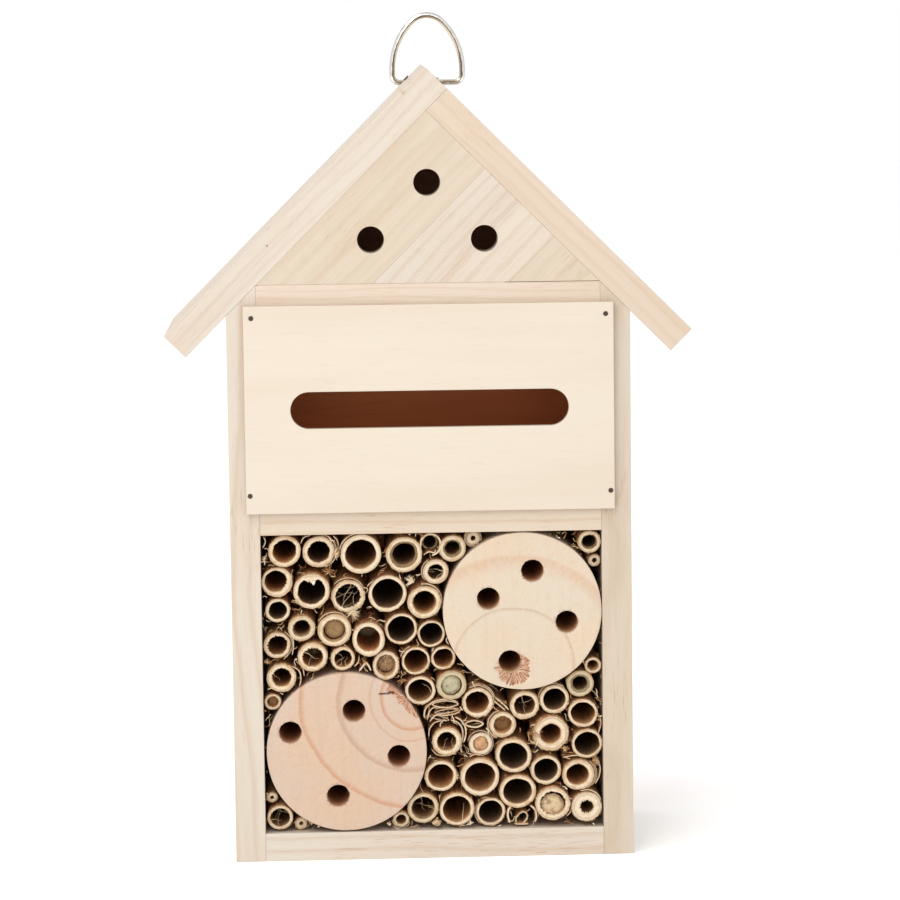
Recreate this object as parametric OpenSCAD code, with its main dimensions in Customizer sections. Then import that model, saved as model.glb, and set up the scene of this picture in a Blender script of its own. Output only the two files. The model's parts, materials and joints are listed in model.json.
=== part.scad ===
// Insect hotel: a small gabled house of pale boards. The lower compartment is packed with
// drilled log slices and cut hollow reeds, a slotted panel covers the chamber above it,
// and a wire ring swings behind the ridge, to hang the house by.
// Millimetres, +Z up, the front faces -Y. The origin is under the middle of the whole
// piece, at the height of the surface that it stands on.

/* [House] */
// Width over the two side boards
body_w = 153; // [153:1:165]
// Thickness of every other solid board
board_t = 11.4; // [10.4:0.1:11.4]
// Thickness of the floor board
floor_t = 10.8; // [10:0.1:10.8]
// Depth of the roof boards, from front to back
depth = 80; // [78:1:110]
// Clear height of the lower compartment, which holds the logs and reeds
compartment_h = 115.6; // [115.6:0.1:130]
// Clear height of the chamber behind the slotted panel
chamber_h = 72.5; // [72.5:0.5:90]
// Thickness of the back panel
back_t = 3; // [2:0.5:5]

/* [Roof] */
// Width of the roof from eave to eave
roof_w = 200; // [185:1:230]
// Diameter of the three nest holes in the gable
gable_hole_d = 10.2; // [8:0.2:12]
// Height of the top nest hole above the attic floor
gable_hole_top = 38.1; // [36:0.1:40]
// Height of the two side nest holes above the attic floor
gable_hole_low = 16.7; // [14:0.1:20]
// Distance of the side nest holes from the middle
gable_hole_x = 21.5; // [18:0.5:24]

/* [Front panel] */
// Width of the slotted panel
panel_w = 140; // [138:1:150]
// Height of the slotted panel
panel_h = 79; // [78:1:82]
// Thickness of the slotted panel
panel_t = 3; // [2:0.5:5]
// Height of the panel's lower edge
panel_z = 135; // [133:0.5:137]
// Width of the slot from end to end
slot_w = 105.5; // [80:0.5:115]
// Height of the slot, which is also the diameter of its round ends
slot_h = 14; // [8:0.5:20]
// Height of the slot's centre line
slot_z = 174.3; // [165:0.1:185]

/* [Logs] */
// Diameter of the holes drilled in the logs
log_hole_d = 8.5; // [6:0.5:9]
// Depth of the holes drilled in the logs
log_hole_depth = 50; // [30:1:60]
// Distance of the logs' faces behind the front
log_recess = 0.5; // [0:0.1:3]

/* [Hanging ring] */
// Diameter of the ring's wire
wire_d = 2.3; // [2:0.1:2.4]
// Half of the ring's width, between the middles of the wire
ring_half_w = 13.9; // [13.5:0.1:14.5]
// Height of the ring's bar below the ridge
bar_drop = 7.3; // [6:0.1:8]
// Distance of the ring's middle to the right of the ridge
ring_x = 2.8; // [0:0.1:3]
// Width of the folded strap that holds the ring
strap_w = 9; // [7:0.5:12]
// Thickness of the strap's metal
strap_t = 0.8; // [0.6:0.1:1]

/* [Nails] */
// Diameter of a board nail's shank
nail_d = 1.4; // [1:0.1:1.8]
// Length of a board nail
nail_len = 28; // [25:1:35]
// Diameter of a panel pin's shank
pin_d = 1; // [0.8:0.1:1.2]
// Length of a panel pin
pin_len = 14; // [10:1:16]

/* [Hidden] */
$fn = 64;
pale_wood = "#EFDCC6";
plywood = "#F8EBD5";
log_wood = "#EDD8C2";
reed_skin = "#DCCBA6";
steel = "#B9B6B0";
dark_steel = "#6B5E52";

// The house's box: every height is above the resting surface
outer_x = body_w / 2;
inner_x = outer_x - board_t;
body_d = depth - back_t;
shelf_z = floor_t + compartment_h;
attic_z = shelf_z + board_t + chamber_h;
attic_top = attic_z + board_t;
apex_z = attic_top + inner_x;
ridge_z = apex_z + board_t * sqrt(2);
slope_len = roof_w / sqrt(2);
side_top = apex_z - outer_x;

// The strap's loop is the rearmost piece, the slotted panel the foremost one
strap_bore_r = wire_d / 2 + 0.05;
strap_loop_r = strap_bore_r + strap_t;
front_y = panel_t - (panel_t + depth + 2 * strap_loop_r) / 2;
bar_z = ridge_z - bar_drop;
bar_y = depth + strap_loop_r;
strap_end_z = bar_z - 23.5;
screw_z = bar_z - 17;

// The ring's outline above its bar: corners, short straights, side arcs and a top arc
ring_corner_r = 3;
ring_straight_top = 5;
ring_side_r = 27.1;
ring_top_r = 8.5;
ring_side_angle = acos((ring_side_r - ring_half_w) / (ring_side_r - ring_top_r));

// Seams between the gable's four glued strips. They run parallel to the left slope, and
// each value is how far below the left slope's underside a seam meets the middle line.
SEAMS = [0, 44.1, 69.1, 95.8, 2 * inner_x];
seam_gap = 0.1;
gable_lift = 0.2;

// Log slices: [x, z, diameter]
UPPER_LOG = [34.5, 95.5, 61];
LOWER_LOG = [-33.5, 42, 61.5];
log_len = 70;
UPPER_HOLES = [[38.5, 111], [21.5, 100.5], [51.5, 91], [29.5, 76]];
LOWER_HOLES = [[-30.5, 58], [-55, 50], [-13.5, 40], [-37, 25]];

// The reeds stop short of the back panel
reed_back = body_d - 0.5;

// Wide hollow reeds: [x, z, outer diameter, bore, distance of the mouth behind the front]
WIDE_REEDS = [
    [-56, 120, 12.5, 9, 2], [-43, 119.5, 12.5, 8.5, 2.5], [-27, 118.5, 15.5, 11.5, 1],
    [-10.5, 118, 14, 10.5, 2], [-59, 108, 12, 8.5, 3], [-46, 104.5, 14, 10.5, 1.5],
    [-32, 102, 13, 10, 3.5], [-17, 103, 14.5, 11.5, 2], [-3, 99.5, 13, 9, 1.5],
    [-37.5, 89, 13, 9, 3], [-24.5, 85.5, 13, 9.5, 1.5], [-12, 89, 12.5, 10, 3.5],
    [-46, 79, 11.5, 8, 2], [-18, 75, 11, 8, 3], [-6.5, 76.5, 11, 9, 3],
    [-58, 71, 11.5, 7.5, 2.5], [-5, 65, 11.5, 9, 3], [7, 67, 11.5, 8, 1.5],
    [17, 60, 12, 9, 2], [35, 58.5, 11.5, 8, 2.5], [46.5, 60.5, 11.5, 8.5, 3],
    [57.5, 55, 11.5, 9, 2.5], [45, 47.5, 14, 8, 1.5], [59, 43, 12, 9.5, 3],
    [5, 45, 11.5, 7.5, 2.5], [30.5, 39, 14, 10.5, 2], [2.5, 31.5, 12.5, 9.5, 2.5],
    [17.5, 31, 15, 11.5, 1.5], [43, 33, 12, 9, 3], [55.5, 31, 12.5, 8.5, 2],
    [32, 25, 14, 10.5, 2], [-4.5, 19, 12, 9, 3], [8.5, 18.5, 13.5, 10.5, 2],
    [21.5, 17, 11.5, 9, 3], [45.5, 20, 13.5, 10, 1.5], [58.5, 18.5, 12, 6, 1.5]
];

// Thin hollow reeds, which fill in between, in the same form
THIN_REEDS = [
    [-0.5, 121.5, 6.5, 5, 4], [8, 120, 10.5, 7, 2], [16, 123.5, 5.5, 2, 4],
    [1.5, 111, 10, 6, 3], [60.5, 121.5, 9, 6, 3], [62.5, 114, 5, 2, 5],
    [61.5, 73.5, 6.5, 4.5, 3], [56.5, 66.5, 10.5, 7.5, 3], [-59, 97, 9.5, 7, 3.5],
    [-50, 90, 10.5, 7, 3], [-0.5, 87, 10.5, 8.5, 3], [-59.5, 83.5, 10.5, 8, 3.5],
    [-34.5, 78, 9.5, 7, 3], [4, 77.5, 9.5, 7.5, 3], [-61.5, 61.5, 6.5, 4.5, 4],
    [26.5, 51, 10.5, 7, 3], [18, 43.5, 9, 6, 4], [33.5, 14, 5.5, 4, 4],
    [-13, 14.5, 6.5, 4, 4], [-62.5, 24, 4.5, 1.5, 5], [-59.5, 16.5, 10, 7.5, 3],
    [-51.5, 13.5, 5, 1.5, 5]
];

// Reeds crushed flat as packing: [x, z, width, thickness, tilt, distance behind the front]
CRUSHED_REEDS = [
    [5, 59, 10, 2.6, 0, 3], [5.5, 56, 9, 2, 6, 4], [2.5, 53.5, 8, 1.8, -14, 5],
    [16, 51, 7.5, 3, 0, 4], [-2, 56, 5, 1.6, 75, 5], [12, 48.5, 6, 1.8, 100, 5]
];

// Board nails: distances down the slope from the ridge, along the depth, and heights
ridge_nail_down = 8;
ridge_nail_y = [10, 40, 70];
gable_nail_down = [50, 85];
gable_nail_y = [board_t / 2, body_d - board_t / 2];
side_nail_y = [18, 60];
side_nail_z = [floor_t / 2, shelf_z + board_t / 2];
proud_nail = 0.8;
nail_head_d = 2.6;
nail_head_t = 0.6;
pin_head_d = 1.7;
pin_head_t = 0.4;
nail_fit = 0.05;

// The hanger's screw and the cross in its head
screw_d = 3;
screw_len = 14;
screw_head_d = 6;
screw_head_t = 2;
cross_w = 0.8;
cross_len = 3.4;
cross_depth = 1.2;

// Panel pins, as [x, z]: the back's are mirrored to both sides
FRONT_PINS = [[-67, 209.5], [67, 209.5], [-68.5, 142], [68.5, 142]];
BACK_PINS = [[70.8, 25], [70.8, 80], [70.8, 140], [70.8, 195], [30, 5.7], [30, 216]];

function numbered(prefix, i) = str(prefix, i < 10 ? "0" : "", i);

WIDE_REED_NAMES = [for (i = [1 : len(WIDE_REEDS)]) numbered("reed_", i)];
STRIP_NAMES = [for (i = [1 : len(SEAMS) - 1]) str("gable_strip_", i)];

// Puts the house, which is drawn with its front at y = 0, in its place
module placed() {
    translate([0, front_y, 0]) children();
}

// Extrudes an outline drawn in X and Z from depth y0 to depth y1
module along_y(y0, y1) {
    translate([0, y1, 0]) rotate([90, 0, 0]) linear_extrude(y1 - y0) children();
}

// A straight round bar or hole from depth y0 to depth y1
module rod(x, z, d, y0, y1) {
    translate([x, y1, z]) rotate([90, 0, 0]) cylinder(d = d, h = y1 - y0);
}

// Draws its children on the left slope: -X runs down the slope, +Z out of it
module on_left_slope() {
    translate([0, 0, ridge_z]) rotate([0, -45, 0]) children();
}

module both_sides() {
    children();
    mirror([1, 0, 0]) children();
}

// A nail with its head flush at z = 0 and its point down, grown by a fit to make its hole
module nail(d, len, head_d, head_t, fit = 0) {
    translate([0, 0, -len - fit]) cylinder(d = d + 2 * fit, h = len + fit);
    translate([0, 0, -head_t - fit]) cylinder(d = head_d + 2 * fit, h = head_t + 2 * fit);
}

// The child stands at each board nail's head, with its point along -Z
module at_board_nails() {
    for (y = ridge_nail_y)
        on_left_slope()
            translate([-ridge_nail_down, y, y == max(ridge_nail_y) ? proud_nail : 0]) children();
    both_sides() {
        for (s = gable_nail_down, y = gable_nail_y)
            on_left_slope() translate([-s, y, 0]) children();
        for (y = side_nail_y, z = side_nail_z)
            translate([outer_x, y, z]) rotate([0, 90, 0]) children();
    }
}

// The child stands at each panel pin's head, with its point along -Z
module at_panel_pins() {
    for (p = FRONT_PINS)
        translate([p[0], -panel_t, p[1]]) rotate([90, 0, 0]) children();
    for (p = BACK_PINS)
        both_sides() translate([p[0], depth, p[1]]) rotate([-90, 0, 0]) children();
}

module one_board_nail(fit = 0) {
    nail(nail_d, nail_len, nail_head_d, nail_head_t, fit);
}

module one_panel_pin(fit = 0) {
    nail(pin_d, pin_len, pin_head_d, pin_head_t, fit);
}

// A board with a hole for every nail that passes through it
module nailed() {
    difference() {
        children();
        at_board_nails() one_board_nail(nail_fit);
    }
}

module pinned() {
    difference() {
        children();
        at_panel_pins() one_panel_pin(nail_fit);
    }
}

// The side boards' tops are cut at 45 degrees, to lie against the roof. mirrored is 1 on the left.
module side_board(mirrored) {
    color(pale_wood) placed() pinned() nailed()
        mirror([mirrored, 0, 0]) along_y(0, body_d)
            polygon([[inner_x, 0], [outer_x, 0], [outer_x, side_top], [inner_x, attic_top]]);
}

// A level board of thickness t between the sides, with its underside at height z
module level_board(z, t = board_t) {
    color(pale_wood) placed() pinned() nailed()
        translate([-inner_x, 0, z]) cube([2 * inner_x, body_d, t]);
}

// The left roof board runs over the end of the right one
module roof_left() {
    color(pale_wood) placed() nailed()
        on_left_slope() translate([-slope_len, 0, -board_t]) cube([slope_len, depth, board_t]);
}

module roof_right() {
    color(pale_wood) placed() nailed()
        mirror([1, 0, 0]) on_left_slope()
            translate([-slope_len, 0, -board_t]) cube([slope_len - board_t, depth, board_t]);
}

// The outline of one glued strip of the gable, between two seams
module strip_outline(i) {
    upper = apex_z - SEAMS[i - 1] - (i > 1 ? seam_gap : 0);
    lower = apex_z - SEAMS[i];
    base = attic_top + gable_lift;
    base_x = min(base - lower, apex_z - base);
    slope_x = min((apex_z - lower) / 2, apex_z - base);
    polygon([
        [base - upper, base], [base_x, base], [slope_x, apex_z - slope_x],
        [(apex_z - upper) / 2, (apex_z + upper) / 2]
    ]);
}

module gable_strip(i) {
    color(pale_wood) placed() nailed() difference() {
        along_y(0, board_t) strip_outline(i);
        rod(0, attic_top + gable_hole_top, gable_hole_d, -1, board_t + 1);
        for (side = [-1, 1])
            rod(side * gable_hole_x, attic_top + gable_hole_low, gable_hole_d, -1, board_t + 1);
    }
}

// The back gable board, which the hanger's screw goes into
module gable_back() {
    color(pale_wood) placed() pinned() nailed() difference() {
        along_y(body_d - board_t, body_d)
            polygon([[-inner_x, attic_top], [inner_x, attic_top], [0, apex_z]]);
        hanger_screw_shank(nail_fit);
    }
}

// The plywood back, with its top under the roof boards
module back_panel() {
    color(plywood) placed() pinned() difference() {
        along_y(body_d, depth)
            polygon([
                [-outer_x, 0], [outer_x, 0], [outer_x, side_top],
                [0, apex_z], [-outer_x, side_top]
            ]);
        hanger_screw_shank(nail_fit);
    }
}

module front_panel() {
    half_slot = slot_w / 2 - slot_h / 2;
    color(plywood) placed() pinned() along_y(-panel_t, 0) difference() {
        translate([-panel_w / 2, panel_z]) square([panel_w, panel_h]);
        translate([0, slot_z]) square([2 * half_slot, slot_h], center = true);
        for (side = [-1, 1])
            translate([side * half_slot, slot_z]) circle(d = slot_h);
    }
}

module panel_pins() {
    color(dark_steel) placed() at_panel_pins() one_panel_pin();
}

module board_nails() {
    color(dark_steel) placed() at_board_nails() one_board_nail();
}

// A slice of a log with blind holes drilled in its face
module log_slice(log, holes) {
    color(log_wood) placed() difference() {
        rod(log[0], log[1], log[2], log_recess, log_recess + log_len);
        for (h = holes)
            rod(h[0], h[1], log_hole_d, -1, log_recess + log_hole_depth);
    }
}

module reed(r) {
    color(reed_skin) placed() difference() {
        rod(r[0], r[1], r[2], r[4], reed_back);
        rod(r[0], r[1], r[3], r[4] - 1, reed_back + 1);
    }
}

module thin_reeds() {
    for (r = THIN_REEDS)
        reed(r);
}

// A crushed reed is a lens, where two wide round faces meet
module crushed_reed(c) {
    round_d = (pow(c[2], 2) + pow(c[3], 2)) / (2 * c[3]);
    translate([c[0], 0, c[1]]) rotate([0, -c[4], 0]) intersection() {
        rod(0, (round_d - c[3]) / 2, round_d, c[5], reed_back);
        rod(0, -(round_d - c[3]) / 2, round_d, c[5], reed_back);
    }
}

module crushed_reeds() {
    color(reed_skin) placed()
        for (c = CRUSHED_REEDS)
            crushed_reed(c);
}

// An arc of wire in the plane of X and Z, about [x, z], from angle a over an angle of span
module wire_arc(x, z, r, a, span) {
    translate([x, 0, z]) rotate([90, 0, 0]) rotate([0, 0, a])
        rotate_extrude(angle = span) translate([r, 0]) circle(d = wire_d);
}

// A D-shaped wire ring, whose straight bar lies in the strap
module hanging_ring() {
    side_x = ring_half_w - ring_side_r;
    top_z = ring_straight_top + (ring_side_r - ring_top_r) * sin(ring_side_angle);
    corner_x = ring_half_w - ring_corner_r;
    color(steel) placed() translate([ring_x, bar_y, bar_z]) {
        translate([-corner_x, 0, 0]) rotate([0, 90, 0]) cylinder(d = wire_d, h = 2 * corner_x);
        both_sides() {
            wire_arc(corner_x, ring_corner_r, ring_corner_r, -90, 90);
            translate([ring_half_w, 0, ring_corner_r])
                cylinder(d = wire_d, h = ring_straight_top - ring_corner_r);
            wire_arc(side_x, ring_straight_top, ring_side_r, 0, ring_side_angle);
            // A ball a hair wider than the wire joins the two arcs into one solid
            translate([ring_top_r * cos(ring_side_angle), 0, top_z + ring_top_r * sin(ring_side_angle)])
                sphere(d = wire_d + 0.06);
        }
        wire_arc(0, top_z, ring_top_r, ring_side_angle, 180 - 2 * ring_side_angle);
    }
}

// A strip folded round the ring's bar, both ends flat on the back
module hanger_strap() {
    leg_t = 2 * strap_t;
    color(steel) placed() difference() {
        translate([ring_x - strap_w / 2, 0, 0]) union() {
            translate([0, bar_y, bar_z]) rotate([0, 90, 0]) cylinder(r = strap_loop_r, h = strap_w);
            translate([0, depth, strap_end_z]) cube([strap_w, leg_t, bar_z - strap_end_z]);
        }
        translate([ring_x - strap_w, bar_y, bar_z]) rotate([0, 90, 0])
            cylinder(r = strap_bore_r, h = 2 * strap_w);
        hanger_screw_shank(nail_fit);
    }
}

module hanger_screw_shank(fit = 0) {
    strap_face = depth + 2 * strap_t;
    rod(ring_x, screw_z, screw_d + 2 * fit, strap_face - screw_len - fit, strap_face + fit);
}

// A pan head screw with a cross in its head
module hanger_screw() {
    strap_face = depth + 2 * strap_t;
    color(steel) placed() difference() {
        union() {
            hanger_screw_shank();
            rod(ring_x, screw_z, screw_head_d, strap_face, strap_face + screw_head_t);
        }
        for (turn = [0, 90])
            translate([ring_x, strap_face + screw_head_t, screw_z]) rotate([0, turn, 0])
                cube([cross_len, 2 * cross_depth, cross_w], center = true);
    }
}

side_board(1);  // side_left
side_board(0);  // side_right
level_board(0, floor_t);  // floor_board
level_board(shelf_z);  // middle_shelf
level_board(attic_z);  // attic_floor
roof_left();
roof_right();
for (i = [1 : len(STRIP_NAMES)])
    gable_strip(i);
gable_back();
back_panel();
front_panel();
panel_pins();
board_nails();
log_slice(UPPER_LOG, UPPER_HOLES);  // log_upper
log_slice(LOWER_LOG, LOWER_HOLES);  // log_lower
hanging_ring();
hanger_strap();
hanger_screw();
thin_reeds();
crushed_reeds();
for (i = [1 : len(WIDE_REEDS)])
    reed(WIDE_REEDS[i - 1]);
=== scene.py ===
"""Looks of the insect hotel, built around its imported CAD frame.

The nails and metal pieces are the CAD nodes with their own materials. The boards and panels
are copies of CAD nodes with worn edges, and the log slices and reeds are new meshes. Each of
them stands in the place of a CAD node.
Shapes are worked out in millimetres and written to the meshes in metres. The front faces -Y.
"""

import json
import random
from functools import partialmethod
from math import atan2, cos, degrees, exp, hypot, pi, radians, sin
from types import SimpleNamespace

import bmesh
import bpy
from mathutils import Matrix, Vector, noise
from mathutils.geometry import delaunay_2d_cdt


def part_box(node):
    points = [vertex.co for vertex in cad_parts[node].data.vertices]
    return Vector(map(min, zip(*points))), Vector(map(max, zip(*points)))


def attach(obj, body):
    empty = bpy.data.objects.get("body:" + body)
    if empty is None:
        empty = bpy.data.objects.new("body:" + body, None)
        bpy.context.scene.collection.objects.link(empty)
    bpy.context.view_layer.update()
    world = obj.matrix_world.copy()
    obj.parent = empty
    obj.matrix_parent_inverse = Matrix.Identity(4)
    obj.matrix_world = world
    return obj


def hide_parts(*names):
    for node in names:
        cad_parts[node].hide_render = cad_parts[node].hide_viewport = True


MM = 0.001
HOUSE = "house"
EDGE_WEAR = 0.25  # millimetres by which the boards' edges are rounded
JOINT_WEAR = 0.08  # the same along the glued joints of the gable

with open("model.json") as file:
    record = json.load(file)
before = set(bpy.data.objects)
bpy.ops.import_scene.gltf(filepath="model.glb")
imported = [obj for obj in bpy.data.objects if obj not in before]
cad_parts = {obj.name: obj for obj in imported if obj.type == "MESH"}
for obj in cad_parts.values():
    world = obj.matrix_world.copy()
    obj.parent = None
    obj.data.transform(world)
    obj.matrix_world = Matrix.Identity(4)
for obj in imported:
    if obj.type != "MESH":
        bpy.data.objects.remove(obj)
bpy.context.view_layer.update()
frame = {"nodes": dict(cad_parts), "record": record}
NODES = frame["nodes"]
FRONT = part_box("side_left")[0].y / MM
OPENINGS = {o["name"]: o["box_m"] for o in frame["record"]["physics"]["openings"]}


# ---------------------------------------------------------------- materials

def tint(code):
    """The linear colour of a #RRGGBB code."""
    parts = [int(code[i:i + 2], 16) / 255 for i in (1, 3, 5)]
    return tuple(p / 12.92 if p <= 0.04045 else ((p + 0.055) / 1.055) ** 2.4 for p in parts) + (1,)


class Surface:
    """A procedural material, made by short calls that add and link its nodes.

    A colour is a socket or a #RRGGBB code.
    """

    def __init__(self, name, **uniform):
        self.material = bpy.data.materials.new(name)
        self.material.use_nodes = True
        self.tree = self.material.node_tree
        self.shader = self.tree.nodes["Principled BSDF"]
        self.place = self.add("TexCoord").outputs["Object"]
        for socket, value in uniform.items():
            self.shader.inputs[socket].default_value = value

    def add(self, kind, inputs=None, **settings):
        node = self.tree.nodes.new("ShaderNode" + kind)
        for name, value in settings.items():
            setattr(node, name, value)
        for socket, value in (inputs or {}).items():
            self.put(node.inputs[socket], value)
        return node

    def put(self, socket, value):
        if isinstance(value, bpy.types.NodeSocket):
            self.tree.links.new(value, socket)
        else:
            socket.default_value = tint(value) if isinstance(value, str) else value

    def mapped(self, vector, scale=(1, 1, 1), move=(0, 0, 0), turn=(0, 0, 0)):
        inputs = {"Vector": vector, "Scale": scale, "Location": move, "Rotation": turn}
        return self.add("Mapping", inputs).outputs[0]

    def noise(self, vector, scale, detail=2.0, roughness=0.5):
        inputs = {"Vector": vector, "Scale": scale, "Detail": detail, "Roughness": roughness}
        return self.add("TexNoise", inputs).outputs["Fac"]

    def math(self, operation, a, b=0.0):
        return self.add("Math", {0: a, 1: b}, operation=operation).outputs[0]

    plus = partialmethod(math, "ADD")
    minus = partialmethod(math, "SUBTRACT")
    times = partialmethod(math, "MULTIPLY")
    over = partialmethod(math, "DIVIDE")

    def length(self, vector):
        return self.add("VectorMath", {0: vector}, operation="LENGTH").outputs["Value"]

    def ease(self, value, low, high, start=0.0, end=1.0):
        """start below low, end above high, and smooth between them."""
        inputs = {"Value": value, "From Min": low, "From Max": high, "To Min": start, "To Max": end}
        return self.add("MapRange", inputs, interpolation_type="SMOOTHSTEP").outputs[0]

    def ramp(self, value, *stops):
        """A colour from stops of (position, colour)."""
        node = self.add("ValToRGB", {"Fac": value})
        elements = node.color_ramp.elements
        while len(elements) < len(stops):
            elements.new(1.0)
        for element, (position, colour) in zip(elements, stops):
            element.position = position
            element.color = tint(colour) if isinstance(colour, str) else (colour, colour, colour, 1)
        return node.outputs[0]

    def mix(self, factor, a, b, mode="MIX"):
        return self.add("Mix", {0: factor, 6: a, 7: b}, data_type="RGBA", blend_type=mode).outputs[2]

    def stained(self, colour, *stains):
        """Mixes each stain's colour in. A stain is what ease takes, then the colour."""
        for *eased, stain in stains:
            colour = self.mix(self.ease(*eased), colour, stain)
        return colour

    def mark(self, name):
        """A value that the mesh holds for each point."""
        return self.add("Attribute", attribute_name=name).outputs["Fac"]

    def finish(self, colour, roughness, height=None, strength=0.3, distance=0.0002):
        self.put(self.shader.inputs["Base Color"], colour)
        self.put(self.shader.inputs["Roughness"], roughness)
        if height is not None:
            inputs = {"Height": height, "Strength": strength, "Distance": distance}
            self.put(self.shader.inputs["Normal"], self.add("Bump", inputs).outputs[0])
        return self.material


def board_wood(name, grain, seed, tinge, warm=0.25, period=5.2, contrast=0.5):
    """Planed paulownia: faint growth rings, long fibres, short dark pores and warm patches.

    tinge is a colour that the whole board is multiplied by.
    """
    base, late = "#C7BAAA", "#B69F87"
    s = Surface(name, IOR=1.35)
    turn = Vector(grain).rotation_difference(Vector((1, 0, 0))).to_euler()
    along = s.mapped(s.place, turn=turn, move=(0.371 * seed, 0.113 * seed, 0.057 * seed))
    sway = s.times(s.minus(s.noise(s.mapped(along, (0.35, 1, 1)), 26), 0.5), 0.009)
    pith = s.mapped(along, scale=(0.012, 1, 1), move=(0, 0.14 - 0.1 * seed, -0.06))
    radius = s.plus(s.length(pith), sway)
    ring = s.math("FRACT", s.over(radius, period * MM))
    late_wood = s.ramp(ring, (0.0, 0.35), (0.12, 0.0), (0.62, 0.08), (0.9, 1.0), (1.0, 0.4))
    fibre = s.noise(s.mapped(along, (0.022, 1, 1)), 1500, detail=3, roughness=0.6)
    broad = s.noise(s.mapped(along, (0.06, 1, 1)), 190, detail=2)
    pores = s.ease(s.noise(s.mapped(along, (0.07, 1, 1), move=(seed, 0, 0)), 2300, detail=0), 0.66, 0.76)
    patch = s.noise(along, 22, detail=3)
    colour = s.mix(s.times(late_wood, contrast), base, late)
    colour = s.stained(
        colour, (broad, 0.45, 0.75, 0, 0.3, "#B9A189"), (fibre, 0.5, 0.85, 0, 0.35, late))
    colour = s.mix(s.times(pores, s.ease(patch, 0.45, 0.7, 0.03, 0.38)), colour, "#9A7354")
    colour = s.mix(s.ease(patch, 0.4, 0.8, 0, warm), colour, "#C3A88F")
    colour = s.mix(1.0, colour, tinge, "MULTIPLY")
    height = s.minus(fibre, s.times(pores, 0.8))
    return s, colour, s.ease(fibre, 0.3, 0.8, 0.58, 0.72), height


def finished(parts):
    """The material of what board_wood returns."""
    surface, colour, roughness, height = parts
    return surface.finish(colour, roughness, height)


def dark_round_mark(parts, x, z, width, code, strength, ragged):
    """Darkens a board round (x, z), in millimetres, towards a colour, with a ragged edge."""
    surface, colour, roughness, height = parts
    s = surface
    moved = s.mapped(s.place, scale=(1, 0, 1), move=(-x * MM, 0, -z * MM))
    away = s.length(moved)
    away = s.plus(away, s.times(s.noise(s.place, 900), ragged * width * MM))
    stain = s.ease(away, 0.35 * width * MM, (1 + 0.5 * ragged) * width * MM, strength, 0)
    return surface, s.mix(stain, colour, code), roughness, height


def plywood(name, base, streak, edge, seed, thick, front_y, outside="#FFFFFF"):
    """Veneered plywood: a smooth face with faint level grain, and plies along its edges.

    outside is a colour that its rear face is multiplied by. Faces towards the front keep the brighter colour:
    on the back panel that is its inner face, painted light that comes in through the slot.
    """
    s = Surface(name, IOR=1.4)
    along = s.mapped(s.place, move=(0.31 * seed, 0, 0.17 * seed))
    fine = s.noise(s.mapped(along, (0.03, 1, 1)), 1300, detail=3, roughness=0.6)
    broad = s.noise(s.mapped(along, (0.12, 1, 1)), 60, detail=3)
    fleck = s.ease(s.noise(s.mapped(along, (0.1, 1, 1)), 900, detail=0), 0.7, 0.78)
    colour = s.mix(s.ease(broad, 0.35, 0.75, 0, 0.55), base, streak)
    colour = s.mix(s.ease(fine, 0.5, 0.85, 0, 0.35), colour, streak)
    colour = s.mix(s.times(fleck, 0.08), colour, edge)
    depth = s.add("SeparateXYZ", {0: s.place}).outputs["Y"]
    layer = s.math("FRACT", s.over(s.minus(depth, front_y), thick))
    core = s.ramp(layer, (0.0, 0.0), (0.3, 0.0), (0.36, 1.0), (0.64, 1.0), (0.7, 0.0))
    facing = s.add("SeparateXYZ", {0: s.add("NewGeometry").outputs["True Normal"]}).outputs["Y"]
    # Rear faces are multiplied by outside; the back panel's inner face stays brighter, as painted light from
    # the slot.
    colour = s.mix(s.ease(facing, 0.5, 0.8), colour, s.mix(1.0, colour, outside, "MULTIPLY"))
    on_edge = s.ease(s.math("ABSOLUTE", facing), 0.5, 0.8, 0.75, 0)
    colour = s.mix(s.times(core, on_edge), colour, edge)
    return s.finish(colour, s.ease(fine, 0.3, 0.8, 0.5, 0.62), fine, 0.2)


def metal(name, base, dark, roughness, spots):
    """Drawn or pressed metal: fine scratches and duller spots."""
    s = Surface(name, Metallic=1.0)
    scratch = s.noise(s.mapped(s.place, (1, 0.15, 1)), 2600, detail=3)
    dull = s.noise(s.place, 420, detail=3, roughness=0.65)
    colour = s.mix(s.ease(dull, 0.48, 0.72, 0, spots), base, dark)
    rough = s.plus(s.ease(dull, 0.35, 0.75, roughness, roughness + 0.2), s.times(scratch, 0.06))
    return s.finish(colour, rough, scratch, 0.1, 0.00005)


def painted_reflection_wire(name, box):
    """Polished wire with painted reflections, set by its normal round the ring's middle: a dark band where it
    faces the front, light on either side, darker again at its outer edge.
    """
    s = Surface(name, Metallic=1.0)
    middle = (box[0] + box[1]) / 2
    place = s.mapped(s.place, scale=(1, 0, 1), move=(-middle.x, 0, -middle.z))
    outward = s.add("VectorMath", {0: place}, operation="NORMALIZE").outputs["Vector"]
    normal = s.add("TexCoord").outputs["Normal"]
    facing = s.add("VectorMath", {0: outward, 1: normal}, operation="DOT_PRODUCT")
    dull = s.noise(s.place, 420, detail=3, roughness=0.65)
    side = s.plus(s.times(facing.outputs["Value"], -0.5), s.ease(dull, 0.3, 0.7, 0.46, 0.54))
    # Painted reflections: dark where the wire faces the front and at its outer edge, light on its flanks.
    colour = s.ramp(
        side, (0.0, "#77736A"), (0.1, "#D2CFC9"), (0.4, "#E2E0DC"), (0.48, "#544C42"),
        (0.64, "#6A6156"), (0.74, "#CDBEA8"), (1.0, "#BDB09C"))
    return s.finish(colour, s.ease(dull, 0.35, 0.75, 0.14, 0.3), dull, 0.1, 0.00005)


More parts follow.
